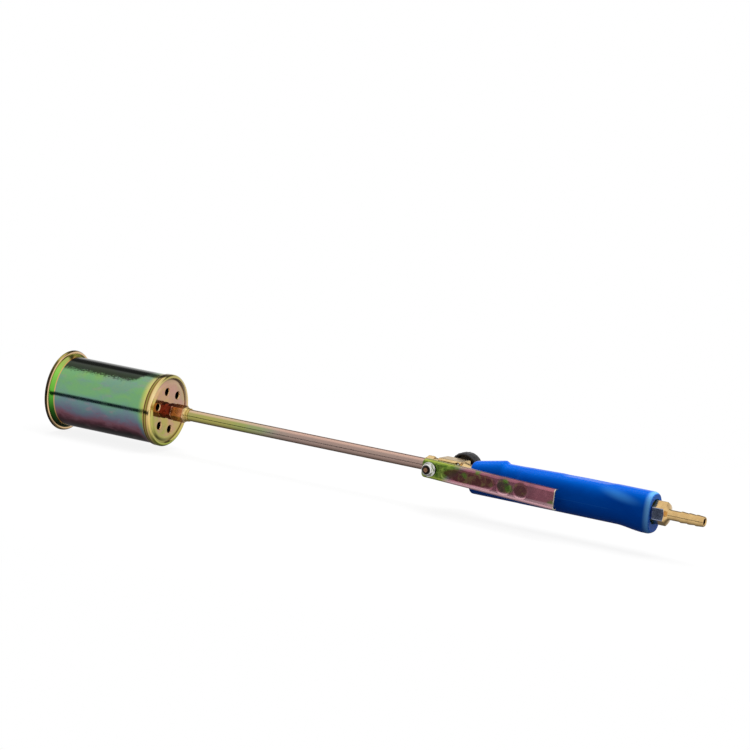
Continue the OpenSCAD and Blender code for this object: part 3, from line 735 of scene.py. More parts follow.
            # Painted slate-blue reflection on the hex flat that faces the lever side
            x, y = b.xyz(v)[:2]
            slate_reflection = b.product(b.span(y, -8.2, -8.45), b.span(x, X_REAR_HEX + 5.5, X_REAR_HEX + 7.5))
            colour = b.mix(b.product(slate_reflection, 0.8), colour, srgb(118, 146, 190))
        b.feed(shader["Base Color"], colour)
        b.feed(shader["Roughness"], b.affine(work.outputs["Tarnish"], 0.2, roughness))
        bump(b, shader, work.outputs["Height"], 0.03)
        return m

    def make_nozzle(self):
        """Heat-discoloured brass: maroon at the neck, partly a painted dark reflection,
        orange-brown on the hex, pale lines at the hex's ends as painted highlights, and bright at
        its end.
        """
        m, b, shader, v = make_material("nozzle_brass")
        work = b.place_group(self.machined, {"Vector": v, "Tarnish": 0.5})
        x = b.math("ADD", b.xyz(v)[0], b.wander(v, 1.2, 0.4, 3.0))
        # Heat colours along X with painted light: the dark maroon at the neck is partly painted
        # reflection, the pale lines near 5.5 and 17.6 mm are painted highlights
        heat_stain_and_light = b.ramp(b.affine(x, 0.05, 0.0), [
            (0.0, srgb(150, 66, 54)), (0.24, srgb(132, 54, 46)), (0.275, srgb(240, 190, 160)),
            (0.315, srgb(206, 138, 96)), (0.6, srgb(214, 148, 98)), (0.84, srgb(200, 128, 82)),
            (0.88, srgb(246, 214, 160)), (1.0, srgb(238, 212, 120))])
        b.feed(shader["Base Color"], b.mix(work.outputs["Tarnish"], heat_stain_and_light, srgb(112, 56, 42)))
        b.feed(shader["Roughness"], b.affine(work.outputs["Tarnish"], 0.16, 0.16))
        bump(b, shader, work.outputs["Height"], 0.03)
        return m

    def make_steel(self, name, light, dark, roughness):
        """Steel between two tones."""
        m, b, shader, v = make_material(name)
        grain = b.place_group(self.grain, {"Vector": v, "Stretch": (1.0, 0.2, 1.0),
                                           "Grain size": 0.3})
        clouds = b.span(b.noise(v, 0.35, 4.0, 0.6), 0.45, 0.75)
        b.feed(shader["Base Color"], b.mix(clouds, light, dark))
        b.feed(shader["Roughness"], b.affine(clouds, 0.1, roughness))
        bump(b, shader, grain.outputs["Height"], 0.04)
        return m

    def make_bolt(self):
        """Brown middle of the bolt end, dark round it."""
        m, b, shader, v = make_material("bolt_end")
        x, _, z = b.xyz(v)
        dx = b.math("SUBTRACT", x, X_BOLT)
        far = b.math("ADD", b.length(dx, z), b.wander(v, 0.6, 0.9, 3.0))
        brown = b.mix(b.noise(v, 0.8, 3.0), srgb(196, 150, 118), srgb(140, 96, 74))
        b.feed(shader["Base Color"], b.mix(b.span(far, 1.6, 2.0), brown, srgb(40, 32, 28)))
        b.feed(shader["Roughness"], b.span(far, 1.6, 2.2, 0.3, 0.5))
        return m

    def make_black_plastic(self, name, base, dusty):
        """Dark plastic or rubber with a little dust."""
        m, b, shader, v = make_material(name, metallic=0.0)
        dust = b.span(b.noise(v, 0.5, 5.0, 0.7), 0.5, 0.75)
        b.feed(shader["Base Color"], b.mix(dust, base, dusty))
        b.feed(shader["Roughness"], b.affine(dust, 0.2, 0.3))
        bump(b, shader, b.noise(v, 2.2, 3.0, 0.6), 0.18)
        return m

    def make_blue_plastic(self):
        """Glossy blue moulding with its split line and scuffs, painted paler along the top, with
        painted highlights round the lip and in a soft oval.
        """
        looks = bpy.context.scene.torch_handle
        m, b, shader, v = make_material("blue_moulding", metallic=0.0, specular=0.3)
        shader["IOR"].default_value = 1.25
        shader["Specular Tint"].default_value = (0.03, 0.42, 1.0, 1.0)
        x, _, z = b.xyz(v)
        base = tuple(looks.colour) + (1.0,)
        swirl = b.noise(b.vector("MULTIPLY", v, (0.4, 1.0, 1.0)), 0.06, 4.0, 0.55, 0.8)
        colour = b.mix(b.span(swirl, 0.3, 0.7), base, tuple(looks.swirl) + (1.0,))
        # Painted highlight: paler along the top
        colour = b.mix(b.product(b.span(z, 5.0, 12.5), 0.2), colour, srgb(0, 112, 214))
        # Mould split line along the side
        line = b.math("ADD", z, b.affine(b.noise(v, 0.03, 2.0), 0.4, 2.8))
        split = b.product(b.span(b.math("ABSOLUTE", line), 0.26, 0.08),
                          b.span(x, 376.0, 380.0), b.span(x, 430.0, 422.0))
        colour = b.mix(b.product(split, 0.4), colour, srgb(60, 130, 226))
        # Painted highlight: pale band round the thin lip, stronger higher up
        rear = b.math("ADD", x, -X_HANDLE - HANDLE_LEN)
        lip = b.product(b.span(rear, -6.2, -1.6), b.span(rear, 0.2, -1.2))
        colour = b.mix(b.product(lip, b.affine(b.span(z, -16.0, 4.0), 0.25, 0.7)), colour,
                       srgb(116, 188, 255))
        # Painted highlight: a soft oval above the split line, in front of the lip, rising towards
        # the front
        patch_x, patch_z, half_long, half_high, slope = -27.0, 8.52, 23.0, 5.5, 0.16
        dx = b.affine(rear, 1 / half_long, -patch_x / half_long)
        rise = b.math("ADD", z, b.affine(rear, slope, -patch_x * slope - patch_z))
        dz = b.product(rise, 1 / half_high)
        highlight_patch = b.math("SUBTRACT", 1.0, b.length(dx, dz), True)
        colour = b.mix(b.product(b.span(highlight_patch, 0.0, 0.9), 0.6), colour, srgb(72, 162, 255))
        scuffs = b.span(b.noise(v, 0.8, 5.0, 0.75), 0.64, 0.76)
        colour = b.mix(b.product(scuffs, 0.1), colour, srgb(70, 140, 232))
        b.feed(shader["Base Color"], colour)
        b.feed(shader["Roughness"], b.span(swirl, 0.25, 0.75, 0.24, 0.32))
        height = b.math("ADD", b.product(b.noise(v, 0.9, 3.0, 0.5), 0.5), b.product(split, 1.2))
        bump(b, shader, height, 0.2, 0.00008)
        return m


# ---------------------------------------------------------------- arrays by Geometry Nodes

def make_ring_tree():
    """Copies of one object turned about an axis through a pivot."""
    tree, b, given, out = new_tree("ring_of_pieces", "GeometryNodeTree", [
        ("Piece", "Object", None), ("Count", "Int", 6), ("First turn", "Float", 0.0),
        ("Axis", "Vector", (1.0, 0.0, 0.0)), ("Pivot", "Vector", (0.0, 0.0, 0.0)),
        ("Material", "Material", None)], [("Geometry", "Geometry", None)])
    points = b.node("GeometryNodePoints", {"Count": given["Count"]})
    index = b.node("GeometryNodeInputIndex")
    turn = b.math("ADD", b.math("MULTIPLY", index.outputs[0], b.math(
        "DIVIDE", 2 * pi, given["Count"])), given["First turn"])
    spin = b.node("FunctionNodeAxisAngleToRotation", {"Axis": given["Axis"], "Angle": turn})
    source = b.node("GeometryNodeObjectInfo", {"Object": given["Piece"]})
    copies = b.node("GeometryNodeInstanceOnPoints", {
        "Points": points.outputs[0], "Instance": source.outputs["Geometry"],
        "Rotation": spin.outputs[0]})
    moved = b.node("GeometryNodeTransform", {
        "Geometry": copies.outputs[0], "Translation": given["Pivot"]})
    return finish_tree(tree, b, given, out, moved.outputs[0])


def make_row_tree():
    """Copies of one object in a straight row."""
    tree, b, given, out = new_tree("row_of_pieces", "GeometryNodeTree", [
        ("Piece", "Object", None), ("Count", "Int", 3), ("Step", "Vector", (0.0066, 0.0, 0.0)),
        ("Material", "Material", None)], [("Geometry", "Geometry", None)])
    line = b.node("GeometryNodeMeshLine", {"Count": given["Count"], "Offset": given["Step"]})
    source = b.node("GeometryNodeObjectInfo", {"Object": given["Piece"]})
    copies = b.node("GeometryNodeInstanceOnPoints", {
        "Points": line.outputs[0], "Instance": source.outputs["Geometry"]})
    return finish_tree(tree, b, given, out, copies.outputs[0])


def make_coil_tree():
    """A wire wound along Y from a start point."""
    tree, b, given, out = new_tree("coil", "GeometryNodeTree", [
        ("Turns", "Float", 3.5), ("Coil radius", "Float", 0.0029), ("Length", "Float", 0.008),
        ("Wire radius", "Float", 0.00035), ("Start", "Vector", (0.0, 0.0, 0.0)),
        ("Material", "Material", None)], [("Geometry", "Geometry", None)])
    spiral = b.node("GeometryNodeCurveSpiral", {
        "Resolution": 40, "Rotations": given["Turns"], "Start Radius": given["Coil radius"],
        "End Radius": given["Coil radius"], "Height": given["Length"]})
    section = b.node("GeometryNodeCurvePrimitiveCircle", {
        "Resolution": 12, "Radius": given["Wire radius"]})
    wire = b.node("GeometryNodeCurveToMesh", {
        "Curve": spiral.outputs[0], "Profile Curve": section.outputs[0], "Fill Caps": True})
    moved = b.node("GeometryNodeTransform", {
        "Geometry": wire.outputs[0], "Translation": given["Start"], "Rotation": (pi / 2, 0, 0)})
    return finish_tree(tree, b, given, out, moved.outputs[0])


def finish_tree(tree, b, given, out, geometry):
    """Ends a tree with real geometry that carries the given material."""
    real = b.node("GeometryNodeRealizeInstances", {"Geometry": geometry})
    made = b.node("GeometryNodeSetMaterial", {
        "Geometry": real.outputs[0], "Material": given["Material"]})
    b.feed(out["Geometry"], made.outputs[0])
    return tree


def grown(name, tree, values):
    """Runs a Geometry Nodes tree and keeps its result as a plain mesh."""
    host = bpy.data.objects.new(name, bpy.data.meshes.new(name))
    bpy.context.scene.collection.objects.link(host)
    mod = host.modifiers.new("build", "NODES")
    mod.node_group = tree
    for item in tree.interface.items_tree:
        if item.in_out == "INPUT" and item.name in values:
            mod[item.identifier] = values[item.name]
    bake(host)
    source = values.get("Piece")
    if source:
        bpy.data.objects.remove(source)
    return host


# ---------------------------------------------------------------- settings

class TorchStudioSettings(bpy.types.PropertyGroup):
    """Camera and light"""
    azimuth: FloatProperty(name="Azimuth", description="Turn of the view from the lever's side",
                           default=radians(29.02), subtype="ANGLE", unit="ROTATION")
    elevation: FloatProperty(name="Elevation", description="Height of the view over the level",
                             default=radians(8.0), subtype="ANGLE", unit="ROTATION")
    roll: FloatProperty(name="Roll", description="Turn of the camera about its own axis",
                        default=0.1152790, subtype="ANGLE", unit="ROTATION")
    distance: FloatProperty(name="Distance", description="Distance from the torch to the camera",
                            default=2.8025, subtype="DISTANCE", unit="LENGTH")
    key_power: FloatProperty(name="Key power", description="Power of the soft light overhead",
                             default=22.0, subtype="POWER", unit="POWER")


class TorchBurnerSettings(bpy.types.PropertyGroup):
    """Air holes of the burner's back plate"""
    holes: IntProperty(name="Air holes", description="Number of air holes in the back plate",
                       default=6)
    first_hole: FloatProperty(name="First hole", description="Turn of the first hole from the top",
                              default=radians(16.0), subtype="ANGLE", unit="ROTATION")
    hole_radius: FloatProperty(name="Hole radius", description="Radius of each air hole",
                               default=0.0031, subtype="DISTANCE", unit="LENGTH")


class TorchKnobSettings(bpy.types.PropertyGroup):
    """Grip of the knob"""
    ribs: IntProperty(name="Ribs", description="Number of grip ribs round the knob", default=24)


class TorchHandleSettings(bpy.types.PropertyGroup):
    """Colours of the handle"""
    colour: FloatVectorProperty(name="Colour", description="Colour of the moulded handle",
                                default=srgb(0, 93, 211)[:3], subtype="COLOR", size=3,
                                min=0.0, max=1.0)
    swirl: FloatVectorProperty(name="Swirl", description="Second colour in the moulded handle",
                               default=srgb(0, 81, 195)[:3], subtype="COLOR", size=3,
                               min=0.0, max=1.0)


class TorchBarbSettings(bpy.types.PropertyGroup):
    """Ridges of the hose barb"""
    ridges: IntProperty(name="Ridges", description="Number of ridges on the hose barb", default=3)
    pitch: FloatProperty(name="Ridge pitch", description="Distance from one ridge to the next",
                         default=0.0066, subtype="DISTANCE", unit="LENGTH")


finishes = None


# ---------------------------------------------------------------- operators

class TORCH_OT_camera(bpy.types.Operator):
    """Places the camera at the photograph's viewing angle"""
    bl_idname = "torch.camera"
    bl_label = "Camera"

    def execute(self, context):
        studio = context.scene.torch_studio
        a, e, roll = studio.azimuth, studio.elevation, studio.roll
        focal, pixels = 3400.0, 750.0
        shift_right, shift_down = -4.24, 77.7
        ahead = Vector((-sin(a) * cos(e), cos(a) * cos(e), -sin(e)))
        right = Vector((cos(a), sin(a), 0.0))
        up = Vector((-sin(a) * sin(e), cos(a) * sin(e), cos(e)))
        right, up = right * cos(roll) + up * sin(roll), up * cos(roll) - right * sin(roll)
        target_x = 200.0
        target = Vector(((target_x - X_ORIGIN) * MM, 0.0, 0.0))
        per_pixel = studio.distance / focal
        spot = target - ahead * studio.distance - right * (shift_right * per_pixel)
        spot += up * (shift_down * per_pixel)
        data = bpy.data.cameras.new("camera")
        data.sensor_width = 36.0
        data.lens = focal * data.sensor_width / pixels
        data.clip_end = 60.0
        camera = bpy.data.objects.new("camera", data)
        turn = Matrix((right, up, -ahead)).transposed().to_4x4()
        camera.matrix_world = Matrix.Translation(spot) @ turn
        context.scene.collection.objects.link(camera)
        context.scene.camera = camera
        return {"FINISHED"}


class TORCH_OT_finishes(bpy.types.Operator):
    """Makes the materials and the Geometry Nodes trees"""
    bl_idname = "torch.finishes"
    bl_label = "Finishes"

    def execute(self, context):
        global finishes
        finishes = Finishes()
        finishes.ring = make_ring_tree()
        finishes.row = make_row_tree()
        finishes.coil = make_coil_tree()
        return {"FINISHED"}


class TORCH_OT_burner(bpy.types.Operator):
    """Builds the burner's shell with its flared, rolled mouth"""
    bl_idname = "torch.burner"
    bl_label = "Burner shell"

    def execute(self, context):
        beyond, meeting = 0.15, 0.22
        flare_steps, roll_steps = 16, 34

        def clear(x, r):
            """Whether a point of the flare still lies outside the rolled bead."""
            return hypot(x - BEAD_X, r - BEAD_RING_R) > BEAD_R + beyond

        outer, inner = [], []
        for i in range(flare_steps + 1):
            t = pi / 2 * i / flare_steps
            x = FLARE_X + FLARE_LEN * (1 - sin(t))
            r = SHELL_R + FLARE_OUT * (1 - cos(t))
            if clear(x, r):
                outer.append((x, r))
            if clear(x - SHELL_WALL, r - SHELL_WALL):
                inner.insert(0, (x - SHELL_WALL, r - SHELL_WALL))
        start = atan2(outer[-1][1] - BEAD_RING_R, outer[-1][0] - BEAD_X) + meeting
        end = atan2(inner[0][1] - BEAD_RING_R, inner[0][0] - BEAD_X) - meeting + 2 * pi
        roll = []
        for i in range(roll_steps + 1):
            t = start + (end - start) * i / roll_steps
            roll.append((BEAD_X + BEAD_R * cos(t), BEAD_RING_R + BEAD_R * sin(t)))
        wall = [(x, SHELL_R) for x in (-1.6, -6, -20, -40, -60, -80)]
        bore = [(x, SHELL_R - SHELL_WALL) for x in (-80, -60, -40, -20, -1.6)]
        profile = wall + outer + roll + inner + bore
        shell = turned("burner_shell_skin", profile, segments=224)
        place(shell, finishes.shell, "torch_body", "zinc_shell", "burner_shell")
        return {"FINISHED"}


class TORCH_OT_back_plate(bpy.types.Operator):
    """Builds the stamped back plate and the drawn collars of its air holes"""
    bl_idname = "torch.back_plate"
    bl_label = "Back plate"

    def execute(self, context):
        burner = context.scene.torch_burner
        profile = rounded([
            (-6.5, 30.0, 0.1), (-6.5, 31.0, 0.45), (-1.9, 31.0, 0), (-1.2, 30.87, 0),
            (-0.55, 30.4, 0), (-0.13, 29.8, 0), (0.0, 29.1, 0), (0.0, 28.1, 0.9),
            (-1.4, 27.2, 0.5), (-1.4, 26.4, 0.5), (-0.6, 24.0, 1.5), (-0.6, 5.0, 0),
            (-1.6, 5.0, 0), (-1.6, 30.0, 0.3)], 0.3, 4)
        plate = turned("back_plate_stamping", profile, segments=224)
        r = burner.hole_radius / MM
        opened = r + 0.75
        tools = []
        for i in range(burner.holes):
            t = burner.first_hole + 2 * pi * i / burner.holes
            tools.append(turned("hole_tool", [(-4, 0), (-4, opened), (2, opened), (2, 0)],
                                at=(0, -HOLE_RING_R * sin(t), HOLE_RING_R * cos(t)),
                                segments=48, loop=False))
        cut(plate, tools)
        place(plate, finishes.plate, "torch_body", "zinc_shell", "back_plate")
        bend_steps = 6
        bend = [pi / 2 * k / bend_steps for k in range(bend_steps + 1)]
        lip = [(-1.6 + cos(t), r + 1.0 - sin(t)) for t in bend]
        rim = turned("rim_source", [(-0.75, r + 1.08)] + lip + [
            (-2.6, r), (-2.6, r + 0.35), (-1.75, r + 0.45), (-1.2, r + 0.9)], segments=44,
            at=(X_ORIGIN, 0.0, HOLE_RING_R))
        rims = grown("air_hole_rims", finishes.ring, {
            "Piece": rim, "Count": burner.holes, "First turn": burner.first_hole,
            "Axis": (1.0, 0.0, 0.0), "Pivot": (-X_ORIGIN * MM, 0.0, 0.0),
            "Material": finishes.rim})
        place(rims, finishes.rim, "torch_body", "zinc_shell")
        return {"FINISHED"}


class TORCH_OT_nozzle(bpy.types.Operator):
    """Builds the nozzle body with its neck, hex and collar"""
    bl_idname = "torch.nozzle"
    bl_label = "Nozzle body"

    def execute(self, context):
        profile = rounded([
            (-13.6, 3.0, 0.1), (-13.6, 5.0, 0.4), (-0.6, 5.0, 0), (-0.6, 6.5, 0.2), (0.9, 6.5, 0.1),
            (0.9, 6.2, 0.1), (1.4, 7.16, 0.2), (5.3, 7.16, 0.25), (5.8, 6.2, 0.15),
            (6.35, 7.5, 0.2), (17.5, 7.5, 0.3), (18.0, 6.5, 0.3), (18.0, 6.0, 0.2),
            (20.0, 5.9, 0.35), (20.0, 5.0, 0.1),
            (11.0, 5.0, 0.1), (11.0, 2.5, 0.1), (-7.6, 2.5, 0), (-7.6, 3.0, 0)], 0.2, 4)
        body = turned("nozzle_casting", split_long(profile, 0.4), segments=216,
                      hexes=[(0.95, 5.75, 12.4), (5.8, 18.05, 13.0)], hex_turn=radians(-13))
        place(body, finishes.nozzle, "torch_body", "warm_brass", "nozzle_body")
        collar = turned("tube_collar", rounded([
            (20.0, 5.0, 0.05), (20.0, 5.7, 0.35), (22.0, 5.7, 0.6), (22.0, 5.0, 0.05)], 0.2, 5),
            segments=96)
        place(collar, finishes.collar, "torch_body", "warm_brass", "front_ferrule")
        return {"FINISHED"}


class TORCH_OT_tube(bpy.types.Operator):
    """Builds the long gas tube and the nut that holds it in the valve"""
    bl_idname = "torch.tube"
    bl_label = "Gas tube"

    def execute(self, context):
        stops = [11.0, 20.0, 60.0, 100.0, 140.0, 180.0, 220.0, 254.0, 260.4]
        profile = [(x, TUBE_R) for x in stops]
        profile += [(x, TUBE_R - TUBE_WALL) for x in reversed(stops)]
        tube = turned("gas_tube_skin", profile, segments=96)
        place(tube, finishes.tube, "torch_body", "zinc_tube", "gas_tube")
        nut = turned("outlet_nut_body", split_long(rounded([
            (252.4, 5.0, 0.05), (252.4, 6.2, 0.3), (253.9, 6.2, 0.2), (253.9, 7.1, 0.2),
            (254.5, 8.08, 0.3), (259.8, 8.08, 0.3), (260.4, 7.1, 0.3), (260.4, 5.8, 0.05),
            (257.4, 5.8, 0), (257.4, 5.0, 0)], 0.2, 4), 0.5), segments=180,
            hexes=[(253.85, 260.45, 14.0)])
        place(nut, finishes.brass, "torch_body", "brass", "outlet_nut")
        return {"FINISHED"}


class TORCH_OT_valve(bpy.types.Operator):
    """Builds the valve block with rounded casting edges, its ball and the plunger spring"""
    bl_idname = "torch.valve"
    bl_label = "Valve"

    def execute(self, context):
        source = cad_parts["valve_body"]
        block = bpy.data.objects.new("valve_casting", source.data.copy())
        context.scene.collection.objects.link(block)
        made = bmesh.new()
        made.from_mesh(block.data)
        bmesh.ops.remove_doubles(made, verts=made.verts, dist=1e-6)
        made.to_mesh(block.data)
        made.free()
        remesh = block.modifiers.new("remesh", "REMESH")
        remesh.mode = "VOXEL"
        remesh.voxel_size = 0.00034
        soften = block.modifiers.new("soften", "SMOOTH")
        soften.factor = 0.5
        soften.iterations = 4
        bake(block)
        place(block, finishes.brass, "torch_body", "brass", "valve_body")
        arc = [(BALL_R * sin(radians(a)), BALL_R * cos(radians(a))) for a in range(-80, 81, 10)]
        ball = turned("bypass_ball_skin", [(-BALL_R, 0.0)] + arc + [(BALL_R, 0.0)], axis="L",
                      at=BALL_AT, segments=40, loop=False)
        place(ball, finishes.chrome, "torch_body", "bright_steel", "bypass_ball")
        spring = grown("plunger_spring_wire", finishes.coil, {
            "Turns": 3.5, "Coil radius": 2.9 * MM, "Length": 4.8 * MM, "Wire radius": 0.35 * MM,
            "Start": ((X_PLUNGER - X_ORIGIN) * MM, 1.1 * MM, 0.0), "Material": finishes.steel})
        place(spring, finishes.steel, "torch_body", "bright_steel", "plunger_spring")
        return {"FINISHED"}


class TORCH_OT_knob(bpy.types.Operator):
    """Builds the regulating knob with its grip ribs"""
    bl_idname = "torch.knob"
    bl_label = "Knob"

    def execute(self, context):
        knob = context.scene.torch_knob
        radius, y0, thick = 12.95, 14.2, 12.0
        rib_r, rib_ring = 0.6, radius - 0.37
        profile = rounded([
            (y0, 2.5, 0.05), (y0, 6.0, 0.2), (y0 + 4, 6.0, 0.2), (y0 + 4, 10.9, 0.4),
            (y0, 10.9, 0.3), (y0, radius - 0.9, 0.3), (y0 + 1.2, radius, 0.6),
            (y0 + thick - 2.0, radius, 0.8), (y0 + thick - 0.6, radius - 0.9, 0.8),
            (y0 + thick, radius - 2.4, 0.8), (y0 + thick, 7.0, 0.3), (y0 + thick - 0.7, 6.4, 0.3),
            (y0 + thick - 0.7, 3.3, 0.2), (y0 + thick - 2.6, 3.3, 0.1), (y0 + thick - 2.6, 1.4, 0),
            (y0 + thick - 3.0, 1.4, 0), (y0 + thick - 3.0, 2.5, 0)], 0.3, 4)
        body = turned("knob_body", profile, axis="K", at=(X_PLUNGER, 0, 0), segments=144)
        rib = turned("rib_source", rounded([
            (y0 + 1.2, 0.0, 0), (y0 + 1.2, rib_r, 0.4), (y0 + thick - 2.2, rib_r, 0.5),
            (y0 + thick - 2.2, 0.0, 0)], 0.5, 4, loop=False), axis="K",
            at=(X_ORIGIN + rib_ring, 0, 0), segments=12, loop=False)
        ribs = grown("knob_ribs", finishes.ring, {
            "Piece": rib, "Count": knob.ribs, "First turn": 0.0, "Axis": (0.0, 1.0, 0.0),
            "Pivot": ((X_PLUNGER - X_ORIGIN) * MM, 0.0, 0.0), "Material": finishes.knob})
        whole = join("knob_moulding", [body, ribs])
        place(whole, finishes.knob, "control_knob", "knob_plastic", "knob")
        return {"FINISHED"}


class TORCH_OT_lever(bpy.types.Operator):
    """Builds the pressed steel lever with its panel and two round marks"""
    bl_idname = "torch.lever"
    bl_label = "Lever"

    def execute(self, context):
        front, length, bend, corner, sheet = -8.4, 126.4, 2.5, 3.0, 1.2
        half_front, half_rear, depth, front_depth = 7.7, 8.6, 5.0, 3.5
        along, across, nose_steps, side_steps = 0.55, 34, 8, 7
        rear = front + length

        def half_width(x):
            """Half the width of the pressing, with its round front corners."""
            half = half_front + (half_rear - half_front) * (x - front) / length
            if x < front + corner:
                gap = front + corner - x
                half -= corner - sqrt(max(corner * corner - gap * gap, 0.0))
            return half

        def pressed(x, z):
            """Depth of the long panel and the two round marks."""
            deep = 0.0
            for middle, a, c in ((36.0, 25.0, 4.9), (70.5, 6.5, 5.7), (86.5, 6.5, 5.7)):
                qx = max(abs(x - middle) - (a - c), 0.0)
                far = sqrt(qx * qx + z * z) - c
                deep = max(deep, 0.3 * (1 - ease(far, -0.7, 0.5)))
            return deep

        def station_rows(inset):
            """The pressing's face at each place along it; inset moves it in by the sheet."""
            turn = bend - inset
            stations = [(front + inset, y) for y in (front_depth, 3.2, 2.85)]
            for k in range(nose_steps + 1):
                t = pi / 2 * k / nose_steps
                stations.append((front + bend - turn * cos(t), bend - turn * sin(t)))
            steps = int((rear - front - bend) / along)
            stations += [(front + bend + (rear - front - bend) * k / steps, inset)
                         for k in range(1, steps + 1)]
            rows = []
            for x, web in stations:
                half = half_width(max(x, front)) - inset
                edge = front_depth + (depth - front_depth) * ease(x, front + 2.2, front + 4.4)
                edge = max(edge, web)
                side = min(turn, edge - web)
                line = [(half, edge), (half, (edge + web + side) / 2)]
                for k in range(side_steps + 1):
                    t = pi / 2 * k / side_steps
                    line.append((half - turn * (1 - cos(t)), web + side * (1 - sin(t))))
                folded = list(line)
                flat = half - turn
                for k in range(1, across):
                    z = flat * (1 - 2 * k / across)
                    line.append((z, web + (pressed(x, z) if web == inset else 0.0)))
                line += [(-z, y) for z, y in reversed(folded)]
                rows.append([(x, y, z) for z, y in line])
            return rows

        def border(rows):
            """The sheet's edge, once round."""
            return (rows[0] + [row[-1] for row in rows[1:-1]] + rows[-1][::-1]
                    + [row[0] for row in rows[-2:0:-1]])

        verts, sheets = [], []
        for inset in (0.0, sheet):
            rows = station_rows(inset)
            sheets.append([[len(verts) + len(row) * i + k for k in range(len(row))]
                           for i, row in enumerate(rows)])
            verts += [point for row in rows for point in row]
        faces = []
        for rows in sheets:
            for one, two in zip(rows, rows[1:]):
                faces += [(one[k], one[k + 1], two[k + 1], two[k]) for k in range(len(one) - 1)]
        around, within = border(sheets[0]), border(sheets[1])
        for k in range(len(around)):
            n = (k + 1) % len(around)
            faces.append((around[k], around[n], within[n], within[k]))
        c, s = cos(LEVER_DROOP), sin(LEVER_DROOP)
        verts = [(x * c + z * s, y, z * c - x * s) for x, y, z in verts]
        c, s = cos(LEVER_TILT), sin(LEVER_TILT)
        verts = [(X_BOLT + x * c + y * s, -LEVER_Y - x * s + y * c, z) for x, y, z in verts]
        lever = mesh_object("lever_pressing", verts, faces)
        tool = turned("bolt_hole_tool", [(14, 0), (14, 3.45), (24, 3.45), (24, 0)], axis="L",
                      at=(X_BOLT, 0, 0), segments=48, loop=False)
        cut(lever, [tool])
        place(lever, finishes.lever, "lever_arm", "zinc_lever", "lever")
        return {"FINISHED"}


class TORCH_OT_pivot(bpy.types.Operator):
    """Builds the lever's bolt end, domed washer and self-locking nut"""
    bl_idname = "torch.pivot"
    bl_label = "Lever pivot"

    def execute(self, context):
        at = (X_BOLT, 0.0, 0.0)
        y0 = 19.1
        dome_r = 14.0
        dome = [(y0 + dome_r - sqrt(dome_r * dome_r - r * r), r)
                for r in (3.3, 3.9, 4.5, 5.1, 5.6, 6.0)]
        washer = turned("pivot_washer", dome + rounded([
            (y0 + 1.25, 6.0), (y0 + 1.4, 5.75), (y0 + 1.4, 3.3)], 0.12, 3, loop=False),
            axis="L", at=at, segments=80)
        place(washer, finishes.steel, "torch_body", "bright_steel", "lever_washer")
        y = 20.5
        nut = turned("pivot_nut", split_long(rounded([
            (y, 3.0, 0.1), (y, 5.0, 0.25), (y + 0.5, 5.75, 0.2), (y + 2.1, 5.75, 0.3),
            (y + 2.8, 4.95, 0.25), (y + 3.4, 4.8, 0.3), (y + 4.2, 4.35, 0.5), (y + 4.6, 3.9, 0.15),
            (y + 4.45, 3.75, 0.05), (y + 3.1, 3.7, 0), (y + 3.1, 3.0, 0)], 0.2, 4), 0.3),
            axis="L", at=at, segments=144, hexes=[(y - 0.05, y + 2.85, 10.0)])
        place(nut, finishes.steel, "torch_body", "bright_steel", "lever_nut")
        insert = turned("pivot_nut_insert", rounded([
            (y + 3.1, 3.0, 0), (y + 3.1, 3.68, 0), (y + 4.25, 3.68, 0.25), (y + 4.3, 3.0, 0.2)],
            0.1, 4), axis="L", at=at, segments=80)
        place(insert, finishes.nylon, "torch_body", "knob_plastic", "nut_insert")
        bolt = turned("pivot_bolt", rounded([
            (4.0, 0.0, 0), (4.0, 2.99, 0), (25.2, 2.99, 0.25), (25.9, 2.3, 0.3), (25.9, 0.0, 0)],
            0.2, 4, loop=False), axis="L", at=at, segments=64, loop=False)
        place(bolt, finishes.bolt, "torch_body", "bolt_steel", "lever_bolt")
        return {"FINISHED"}


